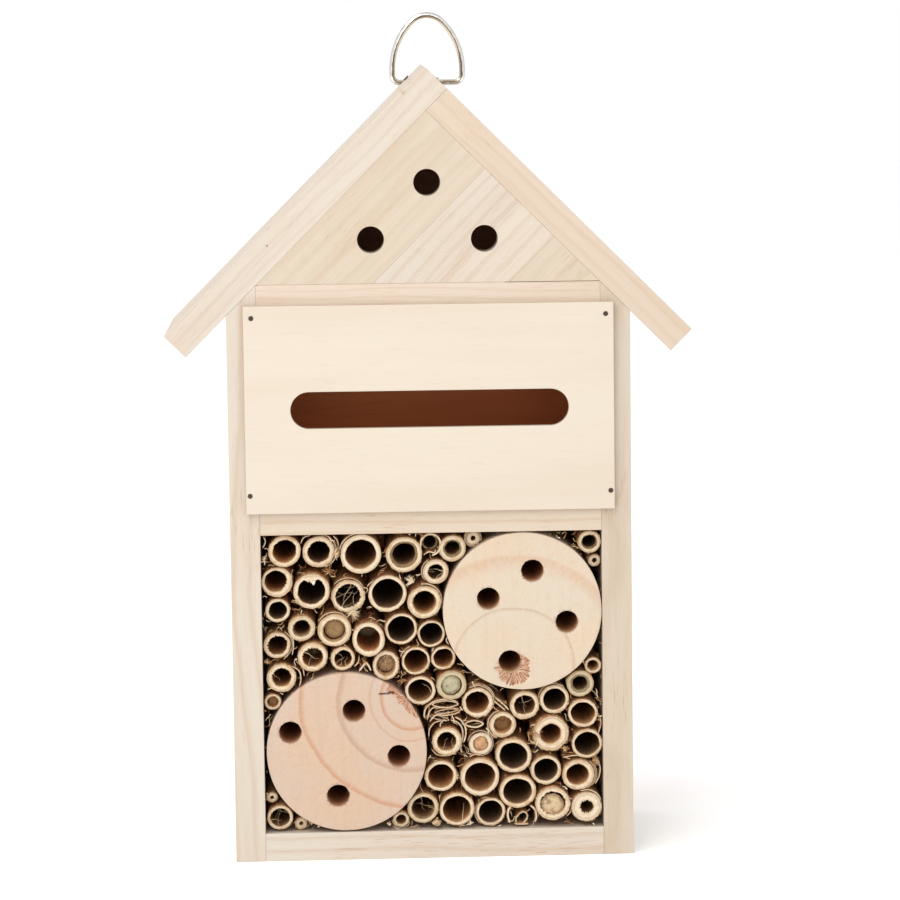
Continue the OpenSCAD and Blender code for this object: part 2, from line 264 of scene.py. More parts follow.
def reed_cut():
    """Sawn reed: pale woody tissue with darker bundles, a thin brown skin and a soft inner edge."""
    s = Surface("reed_cut", IOR=1.4)
    across = s.mark("across")
    grit = s.noise(s.place, 1700, detail=3, roughness=0.65)
    blotch = s.noise(s.place, 330, detail=2)
    cell = s.add("TexVoronoi", {"Vector": s.place, "Scale": 2100}).outputs["Distance"]
    layer = s.plus(across, s.times(s.minus(grit, 0.5), 0.22))
    colour = s.ramp(
        layer, (0.0, "#B4966C"), (0.07, "#D2BC98"), (0.3, "#E8DABE"),
        (0.6, "#DECDAE"), (0.68, "#9E8664"), (0.76, "#DCCBAC"), (0.9, "#B79C76"),
        (1.0, "#6E5638"))
    colour = s.stained(
        colour, (cell, 0.12, 0.32, 0.3, 0, "#A98256"), (grit, 0.52, 0.8, 0, 0.5, "#B9925F"),
        (grit, 0.2, 0.42, 0.55, 0, "#F0E4CB"), (blotch, 0.46, 0.7, 0, 0.5, "#BC9464"),
        (s.mark("tone"), 0.55, 1.0, 0, 0.5, "#A9A078"), (s.mark("tone"), 0.0, 0.3, 0.35, 0, "#EFE6D3"))
    colour = s.mix(1.0, colour, "#E0DBDA", "MULTIPLY")
    height = s.plus(grit, s.times(cell, 0.4))
    return s.finish(colour, s.ease(grit, 0.3, 0.7, 0.65, 0.85), height, 0.6, 0.0003)


def reed_bark():
    """The glossy skin of a reed, straw brown, with lengthwise lines and dark weathering."""
    s = Surface("reed_bark", IOR=1.45)
    lines = s.noise(s.mapped(s.place, (1, 0.03, 1)), 1500, detail=3, roughness=0.6)
    blotch = s.noise(s.mapped(s.place, (1, 0.3, 1)), 160, detail=3)
    colour = s.mix(s.ease(lines, 0.35, 0.75), "#CA9C70", "#A06E40")
    colour = s.mix(s.ease(blotch, 0.45, 0.75, 0, 0.7), colour, "#784A28")
    return s.finish(colour, s.ease(lines, 0.3, 0.7, 0.42, 0.6), lines, 0.4)


def reed_bore():
    """Inside a reed: lighter near the mouth and darker further in, as painted light and shade, and darker all
    through in the reeds given more painted shade.
    """
    s = Surface("reed_bore", IOR=1.4)
    deep = s.mark("deep")
    lines = s.noise(s.mapped(s.place, (1, 0.06, 1)), 1400, detail=2)
    grime = s.noise(s.place, 420, detail=3)
    # Both ramps run by depth: the light near the mouth is painted light, the darkening further in is painted
    # shade. The second ramp is the painted shade of a dark bore.
    lit_bore = s.ramp(
        s.over(deep, 40.0), (0.0, "#E0C296"), (0.03, "#DCAE7C"),
        (0.15, "#D29C68"), (0.6, "#BC8452"))
    shaded_bore = s.ramp(
        s.over(deep, 40.0), (0.0, "#B49C78"), (0.015, "#94765A"),
        (0.08, "#7C6048"), (0.4, "#6E543C"))
    # Each reed's share of the darker ramp is painted shade, from warm brown to nearly black.
    colour = s.mix(s.mark("age"), lit_bore, shaded_bore)
    colour = s.stained(
        colour, (lines, 0.45, 0.8, 0, 0.4, "#5A3A20"), (grime, 0.52, 0.75, 0, 0.35, "#4A301C"))
    return s.finish(colour, s.ease(lines, 0.3, 0.7, 0.5, 0.7), lines, 0.5)


def pith():
    """Soft pith and dust that blocks a reed: tan to grey green by the piece's tone."""
    s = Surface("reed_pith")
    crumbs = s.noise(s.place, 1300, detail=4, roughness=0.7)
    colour = s.ramp(
        s.mark("tone"), (0.0, "#C79A70"), (0.2, "#CDB692"), (0.35, "#A48054"), (0.6, "#8A7150"),
        (0.8, "#857656"), (1.0, "#A39C80"))
    clumps = s.noise(s.place, 520, detail=3, roughness=0.6)
    # The last stain darkens a plug towards its rim, where it meets the bore: painted shade in that corner.
    colour = s.stained(
        colour, (clumps, 0.5, 0.66, 0, 0.55, "#5C3C20"), (crumbs, 0.48, 0.75, 0, 0.5, "#6B4A28"),
        (crumbs, 0.2, 0.4, 0.4, 0, "#D8C6A0"), (s.mark("across"), 0.6, 1.0, 0, 0.5, "#54371D"))
    return s.finish(colour, 0.9, s.plus(crumbs, clumps), 0.9, 0.0005)


def fibres():
    """Torn fibres and leaf sheaths: cream to reddish brown by the piece's tone."""
    s = Surface("reed_fibre", IOR=1.4)
    lines = s.noise(s.place, 1500, detail=2)
    colour = s.ramp(
        s.mark("tone"), (0.0, "#E6DAC4"), (0.3, "#CDB48C"), (0.6, "#AC8050"),
        (1.0, "#7E4A28"))
    colour = s.mix(s.ease(lines, 0.48, 0.75, 0, 0.5), colour, "#8F6538")
    return s.finish(colour, s.ease(lines, 0.3, 0.7, 0.55, 0.75), lines, 0.4)


def log_wood(name, pith_at, rings, rays, tinge):
    """End grain of a log: growth rings round the pith, rays, fine saw marks and torn fibres.

    rings are (radius in millimetres, strength, width in millimetres, colour) of each coloured ring.
    """
    s = Surface(name, IOR=1.35)
    reach = 60.0
    centred = s.mapped(s.place, scale=(1, 0, 1), move=(-pith_at[0] * MM, 0, -pith_at[1] * MM))
    away = s.length(centred)
    sway = s.times(s.minus(s.noise(s.place, 45, detail=3), 0.5), 0.0035)
    away = s.times(s.plus(away, sway), 1 / (reach * MM))
    apart = s.add("SeparateXYZ", {0: centred}).outputs
    angle = s.math("ARCTAN2", apart["Z"], apart["X"])
    polar = s.add("CombineXYZ", {"X": s.times(angle, 14.0), "Y": s.times(away, 5.0)})
    ray = s.noise(polar.outputs[0], 3.0, detail=3, roughness=0.65)
    grit = s.noise(s.place, 1500, detail=3, roughness=0.7)
    patch = s.noise(s.place, 38, detail=3)
    saw = s.noise(s.mapped(s.place, (1, 1, 0.08)), 420, detail=2)
    colour = s.mix(s.ease(patch, 0.35, 0.7), "#DCC7AE", "#E0C4A4")
    colour = s.mix(s.ease(saw, 0.45, 0.8, 0, 0.18), colour, "#CFAE8A")
    colour = s.mix(s.ease(ray, 0.5, 0.75, 0, rays), colour, "#CBA27C")
    colour = s.mix(s.ease(grit, 0.55, 0.8, 0, 0.35), colour, "#BE9870")
    for radius, strength, width, shade in rings:
        inner = s.ease(away, (radius - width) / reach, radius / reach)
        outer = s.ease(away, radius / reach, (radius + 0.35 * width) / reach, 1, 0)
        band = s.times(s.times(inner, outer), strength)
        band = s.times(band, s.ease(ray, 0.3, 0.6, 0.65, 1.0))
        colour = s.mix(band, colour, shade)
    torn = s.mark("across")
    spoke = s.add("CombineXYZ", {"X": s.times(angle, 10.0), "Y": s.times(away, 12.0)})
    spikes = s.noise(spoke.outputs[0], 1.0, detail=4, roughness=0.7)
    ragged = s.ramp(spikes, (0.36, "#94583A"), (0.48, "#C88E66"), (0.6, "#EBCDB0"))
    colour = s.mix(s.ease(torn, 0.25, 0.6), colour, ragged)
    colour = s.mix(s.mark("tone"), colour, "#4A2412")
    # The walls of the holes turn a deeper orange further in: the drilled wood's own colour with painted warm
    # bounce light and painted shade over it.
    hole = s.mark("deep")
    wall = s.ramp(
        s.over(hole, 40.0), (0.0, "#EBD5BA"), (0.04, "#E4B68C"),
        (0.2, "#DA9C6C"), (0.8, "#C88454"))
    colour = s.mix(s.ease(hole, 0.05, 1.2), colour, wall)
    colour = s.mix(1.0, colour, tinge, "MULTIPLY")
    height = s.plus(grit, s.times(ray, 0.6))
    return s.finish(colour, s.ease(grit, 0.3, 0.7, 0.62, 0.82), height, 0.4, 0.0003)


# ------------------------------------------------------------ shapes in code

class Shape:
    """Points, faces and the values of each point, gathered for one mesh."""

    VALUES = ("across", "deep", "tone", "age")

    def __init__(self, tone=0.3, age=0.5):
        self.points = []
        self.values = []
        self.faces = []
        self.kinds = []
        self.tone = tone
        self.age = age

    def point(self, x, y, z, across=0.5, deep=0.0):
        self.points.append((x * MM, y * MM, z * MM))
        self.values.append((across, deep, self.tone, self.age))
        return len(self.points) - 1

    def face(self, kind, corners):
        self.faces.append(tuple(corners))
        self.kinds.append(kind)

    def band(self, kind, first, second):
        """Joins two closed rows of as many points."""
        n = len(first)
        for i in range(n):
            self.face(kind, (first[i], first[(i + 1) % n], second[(i + 1) % n], second[i]))

    def bands(self, kinds, rows):
        """Joins each closed row to the next, and the last to the first if there is a kind for it."""
        for i, kind in enumerate(kinds):
            self.band(kind, rows[i], rows[(i + 1) % len(rows)])

    def cone(self, kind, row, tip):
        n = len(row)
        for i in range(n):
            self.face(kind, (row[i], row[(i + 1) % n], tip))


def rough(seed, pace, theta, along=0.0):
    """Smooth noise round a circle, about -1 to 1: pace is how fast it varies."""
    x, y = pace * cos(theta) + 13.7 * seed, pace * sin(theta)
    return noise.noise(Vector((x, y, along + 3.1 * seed)))


def turns(steps):
    """The angles of evenly spaced points round a circle."""
    return [2 * pi * i / steps for i in range(steps)]


def on_circle(x, z, radius, angle):
    return x + radius * cos(angle), z + radius * sin(angle)


def welded(node):
    """A CAD node's mesh to work on, with its doubled points joined."""
    work = bmesh.new()
    work.from_mesh(NODES[node].data)
    bmesh.ops.remove_doubles(work, verts=work.verts, dist=1e-6)
    return work


def declare(name, mesh, replaced=(), sharp=42):
    """Makes a piece of a mesh, smooth but for the edges over an angle in degrees."""
    mesh.polygons.foreach_set("use_smooth", [True] * len(mesh.polygons))
    mesh.set_sharp_from_angle(angle=radians(sharp))
    piece = bpy.data.objects.new(name, mesh)
    bpy.context.scene.collection.objects.link(piece)
    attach(piece, HOUSE)
    if replaced:
        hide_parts(*replaced)


def make_piece(name, shape, kinds, replaced=()):
    """Makes the piece of a shape. kinds maps a face's kind to its material."""
    mesh = bpy.data.meshes.new(name)
    mesh.from_pydata(shape.points, [], shape.faces)
    used = [k for k in kinds if k in set(shape.kinds)]
    for kind in used:
        mesh.materials.append(kinds[kind])
    mesh.polygons.foreach_set("material_index", [used.index(k) for k in shape.kinds])
    for i, value in enumerate(Shape.VALUES):
        attribute = mesh.attributes.new(value, "FLOAT", "POINT")
        attribute.data.foreach_set("value", [v[i] for v in shape.values])
    work = bmesh.new()
    work.from_mesh(mesh)
    bmesh.ops.recalc_face_normals(work, faces=work.faces)
    work.to_mesh(mesh)
    work.free()
    declare(name, mesh, replaced)


def make_worn_copy(node, material, wear):
    """A copy of a CAD board or panel, with rounded edges, that stands in its place."""
    work = welded(node)
    bmesh.ops.dissolve_limit(work, angle_limit=radians(1), verts=work.verts, edges=work.edges)
    corners = [e for e in work.edges if len(e.link_faces) == 2 and e.calc_face_angle() > radians(40)]
    bmesh.ops.bevel(
        work, geom=corners, offset=wear * MM, offset_type="OFFSET", segments=2, profile=0.5,
        affect="EDGES", clamp_overlap=False)
    name = f"worn_{node}"
    mesh = bpy.data.meshes.new(name)
    work.to_mesh(mesh)
    work.free()
    mesh.materials.append(material)
    declare(name, mesh, [node], 15)


def curve_through(path, steps=5):
    """Points on a smooth curve through a path's points."""
    points = [Vector(p) for p in path]
    ends = [2 * points[0] - points[1]] + points + [2 * points[-1] - points[-2]]
    found = []
    for i in range(1, len(ends) - 2):
        a, b, c, d = ends[i - 1:i + 3]
        for k in range(steps):
            t = k / steps
            found.append(0.5 * (2 * b + (c - a) * t + (2 * a - 5 * b + 4 * c - d) * t * t
                                + (3 * b - a - 3 * c + d) * t ** 3))
    return found + [points[-1]]


def add_strand(shape, path, width):
    """A fibre along a path of points in space, pointed at its far end."""
    rows = []
    for i, at in enumerate(path):
        ahead = path[min(i + 1, len(path) - 1)] - path[max(i - 1, 0)]
        side = ahead.cross(Vector((0.3, 0.2, 0.93))).normalized()
        up = ahead.cross(side).normalized()
        share = i / (len(path) - 1)
        half = width / 2 * (1 - 0.85 * share ** 2)
        corners = [at + half * (side * c + up * s) for c, s in ((1, 0), (0, 1), (-1, 0), (0, -1))]
        rows.append([shape.point(*p, across=share) for p in corners])
    shape.bands(["fibre"] * (len(rows) - 1), rows)
    shape.face("fibre", rows[0])
    shape.face("fibre", rows[-1][::-1])


def add_ribbon(shape, path, thick, mouth, back, seed):
    """A strip of split reed or leaf. Its section follows a path in X and Z, and it runs back."""
    path = curve_through([(x, z, 0) for x, z in path])
    rows = []
    for i, at in enumerate(path):
        ahead = (path[min(i + 1, len(path) - 1)] - path[max(i - 1, 0)]).normalized()
        out = Vector((ahead.y, -ahead.x, 0))
        ends = min(1.0, 0.35 + 0.4 * min(i, len(path) - 1 - i))
        half = thick / 2 * ends * (1 + 0.3 * noise.noise(Vector((i * 0.7, seed, 0))))
        lip = mouth + 0.4 * (1 + noise.noise(Vector((i * 0.45, seed * 2.3, 5.0))))
        section = []
        for side, across in ((1, 0.95), (-1, 0.05)):
            p = at + side * half * out
            section.append([shape.point(p.x, y, p.y, across, max(0.0, y - mouth))
                            for y in (lip, lip + 0.8, (mouth + back) / 2, back)])
        rows.append(section[0][::-1] + section[1])
    last = len(rows[0]) - 1
    for first, second in zip(rows, rows[1:]):
        for k in range(last + 1):
            kind = "cut" if k == 3 else "bark"
            follow = (k + 1) % (last + 1)
            shape.face(kind, (first[k], first[follow], second[follow], second[k]))
    for row in (rows[0], rows[-1]):
        for k in range(3):
            shape.face("bark", (row[k], row[k + 1], row[last - k - 1], row[last - k]))


def arc_path(x, z, radius, start, end, spread, points):
    """Points on an arc in X and Z, in degrees, whose radius grows by spread to its end."""
    path = []
    for i in range(points):
        share = i / (points - 1)
        angle = radians(start + (end - start) * share)
        path.append(on_circle(x, z, radius + spread * share, angle))
    return path


def add_lump(shape, at, size, seed, kind, rows=7, columns=12):
    """A closed crumb of torn tissue."""
    rings = []
    for i in range(1, rows):
        tilt = pi * i / rows
        ring = []
        for turn in turns(columns):
            way = Vector((sin(tilt) * cos(turn), cos(tilt), sin(tilt) * sin(turn)))
            swell = 1 + 0.4 * noise.noise(2.2 * way + Vector((seed * 3.3, 0, 0)))
            ring.append(shape.point(*(at[k] + size[k] / 2 * swell * way[k] for k in range(3)), across=0.4))
        rings.append(ring)
    shape.bands([kind] * (len(rings) - 1), rings)
    for ring, pole in ((rings[0], 0.5), (rings[-1], -0.5)):
        shape.cone(kind, ring, shape.point(at[0], at[1] + pole * size[1], at[2], 0.4))


def add_disc(shape, x, z, radius, y, seed):
    """A plug or node wall inside a reed: a domed and crumbled disc."""
    dome, thick = 0.5, 2
    rings = []
    for share in (1.0, 0.85, 0.62, 0.4, 0.18):
        ring = []
        for theta in turns(40):
            px, pz = on_circle(x, z, radius * share * (1 + 0.05 * rough(seed, 3.5, theta)), theta)
            bump = 0.35 * rough(seed, 3.0 * share, theta, share * 4)
            ring.append(shape.point(px, y - dome * (1 - share ** 2) + bump, pz, share, 1.0))
        rings.append(ring)
    shape.bands(["pith"] * (len(rings) - 1), rings)
    shape.cone("pith", rings[-1], shape.point(x, y - dome, z, 0.0, 1.0))
    shape.cone("pith", rings[0], shape.point(x, y + thick, z, 1.0, 1.0))


# --------------------------------------------------------------------- reeds

REED_DEFAULTS = dict(
    ragged=0.35,     # how far chips stand into the bore at the mouth
    skin=0.2,        # how rough the outside is
    oval=0.02,       # how far from round it is
    lean=20,         # direction of the long side, in degrees from +X towards +Z
    shift=(0, 0),    # where the bore's middle lies off the reed's, in millimetres
    lining=None,     # (start behind the mouth, thickness) of a soft inner layer
    plug=None,       # (depth, share of the bore that it fills, off centre in X, in Z)
    teeth=None,      # (first angle, last angle, length) of torn teeth in the mouth
    sheaths=(),      # (first angle, last angle, gap, thickness) of loose outer layers
    hairs=0,         # fibres across the bore
    fuzz=14,         # fibres that stand out round the outside
    fuzz_at=(0, 360),
    sunk=0,          # how much deeper than the CAD mouth it is cut
    tone=0.3,        # painted shade inside: 0 warm brown, 1 nearly black
    age=0.5,         # 0 warm brown inside, 1 nearly black
)


def read_rounds(node):
    """(x, z, outer radius, bore radius, mouth, back) of each tube in a CAD node."""
    work = welded(node)
    found, seen = [], set()
    for start in work.verts:
        if start in seen:
            continue
        island, waiting = [], [start]
        seen.add(start)
        while waiting:
            vert = waiting.pop()
            island.append(vert.co / MM)
            for edge in vert.link_edges:
                other = edge.other_vert(vert)
                if other not in seen:
                    seen.add(other)
                    waiting.append(other)
        low = [min(p[k] for p in island) for k in range(3)]
        high = [max(p[k] for p in island) for k in range(3)]
        x, z = (low[0] + high[0]) / 2, (low[2] + high[2]) / 2
        reach = [hypot(p.x - x, p.z - z) for p in island]
        found.append((x, z, max(reach), min(reach), low[1], high[1]))
    work.free()
    return sorted(found, key=lambda r: (-round(r[1], 1), r[0]))


def add_reed(shape, tube, look, seed):
    """A cut reed: skin, sawn rim, bore, and what its look adds."""
    x0, z0, outer, bore, mouth, back = tube
    look = SimpleNamespace(**{**REED_DEFAULTS, **look})
    rng = random.Random(seed)
    mouth += look.sunk
    shape.tone, shape.age = look.tone, look.age
    steps = 96 if outer > 4 else 60
    lean = radians(look.lean)
    saw_turn, saw_tilt = rng.uniform(0, 6.28), rng.uniform(0.1, 0.35)

    def skin_radius(theta):
        oval = look.oval * (cos(2 * (theta - lean)) - 0.35)
        coarse = rough(seed, 1.6, theta) * 0.03 * outer
        return outer * (1 + oval) + coarse + look.skin * rough(seed, 9, theta) - 0.05

    def bore_radius(theta, deep, inset):
        oval = 1.5 * look.oval * cos(2 * (theta - lean))
        radius = bore * (1 + oval) + 0.045 * bore * rough(seed + 5, 1.8, theta) - inset
        fade = exp(-max(0.0, deep) / 0.9)
        chips = max(0.0, rough(seed + 2, 11, theta) + 0.25) + 0.7 * abs(rough(seed + 7, 24, theta))
        radius -= fade * look.ragged * chips
        if look.teeth:
            first, last, length = look.teeth
            turn = (degrees(theta) - first) % 360
            if turn < last - first:
                shape_of = sin(pi * turn / (last - first)) ** 0.5
                spikes = abs(sin(theta * 9 + seed)) * 0.6 + 0.6 * abs(rough(seed, 8, theta))
                radius -= exp(-max(0.0, deep) / 1.6) * length * shape_of * spikes
        return min(radius, skin_radius(theta) - 0.45)

    full = back - mouth
    # (share of the wall, how deep, inset of the bore, kind) of each row, round the wall's section
    rows = [(1.0, deep, 0, "bark") for deep in (full, 0.5 * full, 8, 2)]
    rows += [(share, deep, 0, "cut") for share, deep in (
        (1.0, 0.3), (0.95, 0.02), (0.8, 0), (0.62, 0), (0.44, 0), (0.26, 0), (0.08, 0.02), (0.0, 0.2))]
    rows += [(0.0, deep, 0, "bore") for deep in (0.7, 1.6)]
    inset = 0.0
    if look.lining:
        start, inset = look.lining
        rows += [(0.0, start, 0, "pith"), (0.0, start + 0.15, 0.6 * inset, "pith"),
                 (0.0, start + 0.5, inset, "bore")]
    rows += [(0.0, deep, inset, "bore") for deep in (max(3.5, inset and start + 2), 8, 18, 38)]
    rows.append((0.0, full, inset, "bark"))
    made = []
    for share, deep, step, _ in rows:
        row = []
        for theta in turns(steps):
            inner = Vector(on_circle(*look.shift, bore_radius(theta, deep, step), theta))
            p = inner.lerp(Vector(on_circle(0, 0, skin_radius(theta), theta)), share)
            lift = saw_tilt * cos(theta - saw_turn)
            if deep < 1:
                lift += (0.1 + 0.3 * look.ragged) * rough(seed, 7, theta, 6 * share)
            row.append(shape.point(x0 + p.x, mouth + deep + (lift if deep < 5 else 0), z0 + p.y, share, deep))
        made.append(row)
    shape.bands([row[3] for row in rows], made)

    if look.plug:
        deep, fill, move_x, move_z = look.plug
        add_disc(shape, x0 + look.shift[0] + move_x, z0 + look.shift[1] + move_z,
                 (bore - inset) * fill, mouth + deep, seed)
    for k, (first, last, gap, thick) in enumerate(look.sheaths):
        path = arc_path(x0, z0, outer + gap, first, last, 0.25, max(5, int((last - first) / 22)))
        add_ribbon(shape, path, thick, mouth + 0.6 + 0.5 * k, back, seed + k)
    shape.tone = 0.15 + 0.3 * look.tone
    for _ in range(look.hairs):
        start = rng.uniform(0, 2 * pi)
        turn = start + rng.uniform(1.6, 3.4)
        bend = Vector((rng.uniform(-1, 1), rng.uniform(0.5, 3), rng.uniform(-1, 1)))
        ends = [Vector((x0 + 0.97 * bore * cos(a), mouth + rng.uniform(0.8, 4), z0 + 0.97 * bore * sin(a)))
                for a in (start, turn)]
        ends[1] = ends[0].lerp(ends[1], rng.uniform(0.45, 0.95))
        middle = (ends[0] + ends[1]) / 2 + bend
        curl = 0.5 * Vector((rng.uniform(-1, 1), 0, rng.uniform(-1, 1)))
        path = [ends[0], ends[0].lerp(middle, 0.5) + curl, middle, middle.lerp(ends[1], 0.5) - curl, ends[1]]
        add_strand(shape, curve_through(path, 3), rng.uniform(0.14, 0.3))
    for _ in range(look.fuzz):
        shape.tone = rng.uniform(0.2, 1.0)
        theta = radians(rng.uniform(*look.fuzz_at))
        out = Vector((cos(theta), 0, sin(theta)))
        side = Vector((-out.z, 0, out.x)) * rng.choice((-1, 1))
        at = Vector((x0, mouth + rng.uniform(0.2, 1.2), z0)) + out * (skin_radius(theta) - 0.15)
        reach = rng.uniform(0.5, 1.6)
        middle = at + reach * (0.5 * out * rng.uniform(0.1, 0.8) + 0.5 * side) - Vector((0, 0.3 * reach, 0))
        onward = 0.5 * side + 0.5 * out * rng.uniform(-0.4, 0.6)
        tip = middle + reach * onward + Vector((0, rng.uniform(-0.3, 0.4), 0))
        for p in (tip, middle):
            p.y = max(p.y, FRONT + 0.1)
        add_strand(shape, curve_through([at, middle, tip], 3), rng.uniform(0.14, 0.3))


# What each wide reed looks like, by its number
WIDE_LOOKS = {
    1: dict(age=0.1, fuzz=4),
    2: dict(age=0.8, ragged=0.45, skin=0.2, tone=0.35, sheaths=[(-70, 75, 0.35, 0.4)], fuzz=26,
            fuzz_at=(-70, 80)),
    3: dict(age=0.4, tone=0.15, ragged=0.12, skin=0.12, sheaths=[(100, 170, 0.3, 0.4)]),
    4: dict(age=0.8, tone=0.62, lining=(1.4, 0.95), skin=0.18, ragged=0.35, fuzz=12, fuzz_at=(-150, -20)),
    5: dict(age=0.25, shift=(-0.6, 0.4), tone=0.35, ragged=0.3, teeth=(-60, 10, 0.6)),
    6: dict(age=0.95, teeth=(58, 122, 2.3), ragged=0.4, skin=0.22, fuzz=14, fuzz_at=(-80, 10), tone=0.2),
    7: dict(age=0.9, ragged=0.7, skin=0.28, hairs=7, fuzz=30, tone=0.35, teeth=(250, 420, 0.7),
            sheaths=[(30, 140, 0.3, 0.35)]),
    8: dict(age=0.95, ragged=0.12, tone=0.15),
    9: dict(age=0.35, lining=(1.3, 0.35), tone=0.35, sheaths=[(-10, 100, 0.3, 0.4)], fuzz=9),
    10: dict(age=0.3, tone=0.5, lining=(0.8, 0.45), plug=(3.2, 0.93, 0, 0.45), shift=(0, -0.2),
             sheaths=[(40, 150, 0.25, 0.4)]),
    11: dict(age=0.0, oval=0.03, lean=100, teeth=(255, 290, 0.8), ragged=0.15, tone=0.15,
             plug=(34, 1.0, 0, 0)),
    12: dict(age=1.0, ragged=0.1, tone=0.45),
    13: dict(age=0.3, teeth=(20, 170, 0.8), ragged=0.5, hairs=2, fuzz=18, fuzz_at=(-130, -20),
             plug=(26, 1.0, 0, 0)),
    14: dict(age=0.2, oval=0.04, lean=80, lining=(1.6, 0.4), hairs=4, plug=(6, 0.95, 0.2, 0.1), tone=0.3,
             fuzz=12, fuzz_at=(-60, 40)),
    15: dict(age=0.25, ragged=0.12, tone=0.3, sheaths=[(110, 165, 0.3, 0.35)]),
    16: dict(age=0.35, ragged=0.5, shift=(0.1, 0.2), tone=0.45, fuzz=16, fuzz_at=(0, 110), hairs=1),
    17: dict(age=0.45, oval=0.035, lean=5, hairs=1, tone=0.15, ragged=0.15),
    18: dict(age=0.2, tone=1.0, plug=(0.7, 0.95, -0.35, 0.2)),
    19: dict(age=0.2, tone=0.2, shift=(-0.2, 0.1), sheaths=[(-25, 120, 0.25, 0.4), (10, 100, 0.8, 0.35)]),
    20: dict(age=0.5, hairs=3, teeth=(235, 305, 0.8), ragged=0.3),
    21: dict(age=0.9, tone=0.4, ragged=0.12, sheaths=[(60, 200, 0.2, 0.3)]),
    22: dict(age=0.35, oval=0.035, lean=-10, ragged=0.12, tone=0.2),
    23: dict(age=0.25, skin=0.34, tone=0.4, ragged=0.15, fuzz=26, shift=(-0.1, -0.1)),
    24: dict(age=0.9, tone=0.6, oval=0.02, ragged=0.2),
    25: dict(age=0.45, hairs=4, teeth=(-60, 60, 0.5), tone=0.4),
    26: dict(age=1.0, tone=0.65, oval=0.02, lean=160, ragged=0.12),
    27: dict(age=0.12, tone=0.2, ragged=0.1),
    28: dict(age=0.4, tone=0.15, ragged=0.1, skin=0.16),
    29: dict(age=1.0, tone=0.45, ragged=0.15),
    30: dict(age=0.3, shift=(-0.3, 0.1), tone=0.25, fuzz=16, fuzz_at=(-50, 80),
             sheaths=[(-60, 50, 0.3, 0.35), (-40, 30, 0.8, 0.3)]),
    31: dict(age=0.85, oval=0.04, lean=5, tone=0.45, ragged=0.1),
    32: dict(age=0.65, tone=0.7, lining=(1.2, 0.3), hairs=3, ragged=0.3),
    33: dict(age=0.35, ragged=0.2, hairs=1, tone=0.25),
    34: dict(age=1.0, tone=0.35, ragged=0.15, sheaths=[(150, 230, 0.2, 0.35)]),
    35: dict(age=0.05, plug=(2.4, 0.9, -0.1, -1.0), ragged=0.6, tone=0.2, teeth=(200, 340, 0.6), skin=0.2),
    36: dict(age=0.6, ragged=0.6, teeth=(0, 359, 1.0), tone=0.1, skin=0.25, fuzz=18, fuzz_at=(-120, 20),
             sheaths=[(20, 110, 0.25, 0.4)]),
}

# Looks that the thin reeds without one of their own take in turn
THIN_LOOK_CYCLE = (
    dict(age=0.6, ragged=0.3), dict(age=0.3, tone=0.5, lining=(0.8, 0.4)), dict(age=0.8, tone=0.2),
    dict(age=0.4, tone=0.6, hairs=1), dict(age=0.15, tone=0.3, ragged=0.15),
    dict(age=0.9, tone=0.45, ragged=0.4),
)


def nearest_look(tube, looks):
    """The look whose place is closest to a tube, if it is within 3 mm."""
    best = min(looks, key=lambda look: hypot(tube[0] - look[0], tube[1] - look[1]))
    return best[2] if hypot(tube[0] - best[0], tube[1] - best[1]) < 3 else None


# (x, z, look) of the thin reeds that stand out
THIN_LOOKS = [
    (-0.5, 121.5, dict(age=0.9, tone=0.6, sunk=7, fuzz=2)),
    (8, 120, dict(age=0.75, tone=0.7, lining=(0.7, 0.7), plug=(30, 1.0, 0, 0))),
    (15.5, 123.5, dict(tone=0.2, age=0.2, skin=0.15, sheaths=[(-30, 320, 0.15, 0.9)])),
    (1, 111.5, dict(age=0.7, hairs=4, tone=0.2, sheaths=[(120, 220, 0.2, 0.35)])),
    (60, 121.5, dict(age=1.0, tone=0.6, lining=(1.4, 0.5))),
    (56.5, 67, dict(age=0.85, tone=0.85, lining=(0.7, 0.9))),
    (-59.5, 97, dict(age=0.85, tone=0.2)),
    (-50.5, 90.5, dict(age=0.6, tone=0.75, ragged=0.55, skin=0.25, fuzz=18, lining=(1.2, 0.5))),
    (-1, 87.5, dict(age=1.0, tone=0.3, ragged=0.1)),
    (-59.5, 84, dict(age=0.35, ragged=0.6, teeth=(60, 300, 0.6), sheaths=[(-60, 60, 0.4, 0.35)], fuzz=10)),
    (-34.5, 78.5, dict(age=0.35, hairs=4, teeth=(90, 220, 0.7))),
    (4, 78, dict(age=0.1, tone=0.3)),
    (-61.5, 63, dict(age=0.1, tone=0.35, plug=(5, 1.0, 0, 0))),
    (25.5, 51.5, dict(age=0.05, tone=0.35, sheaths=[(100, 250, 0.3, 0.5)], plug=(7, 1.0, 0, 0))),
    (17.5, 44.5, dict(age=0.0, tone=0.0, plug=(1.0, 1.0, 0, 0), sheaths=[(-160, 170, 0.25, 0.3)])),
    (33, 15, dict(age=0.8, oval=0.16, lean=50, tone=0.35)),
    (-13.5, 15, dict(age=0.3, tone=0.4, sheaths=[(180, 340, 0.25, 0.35)], fuzz=8)),
    (-59.5, 17, dict(age=0.75, tone=0.6, hairs=5)),
]


# ------------------------------------------------------------- loose packing

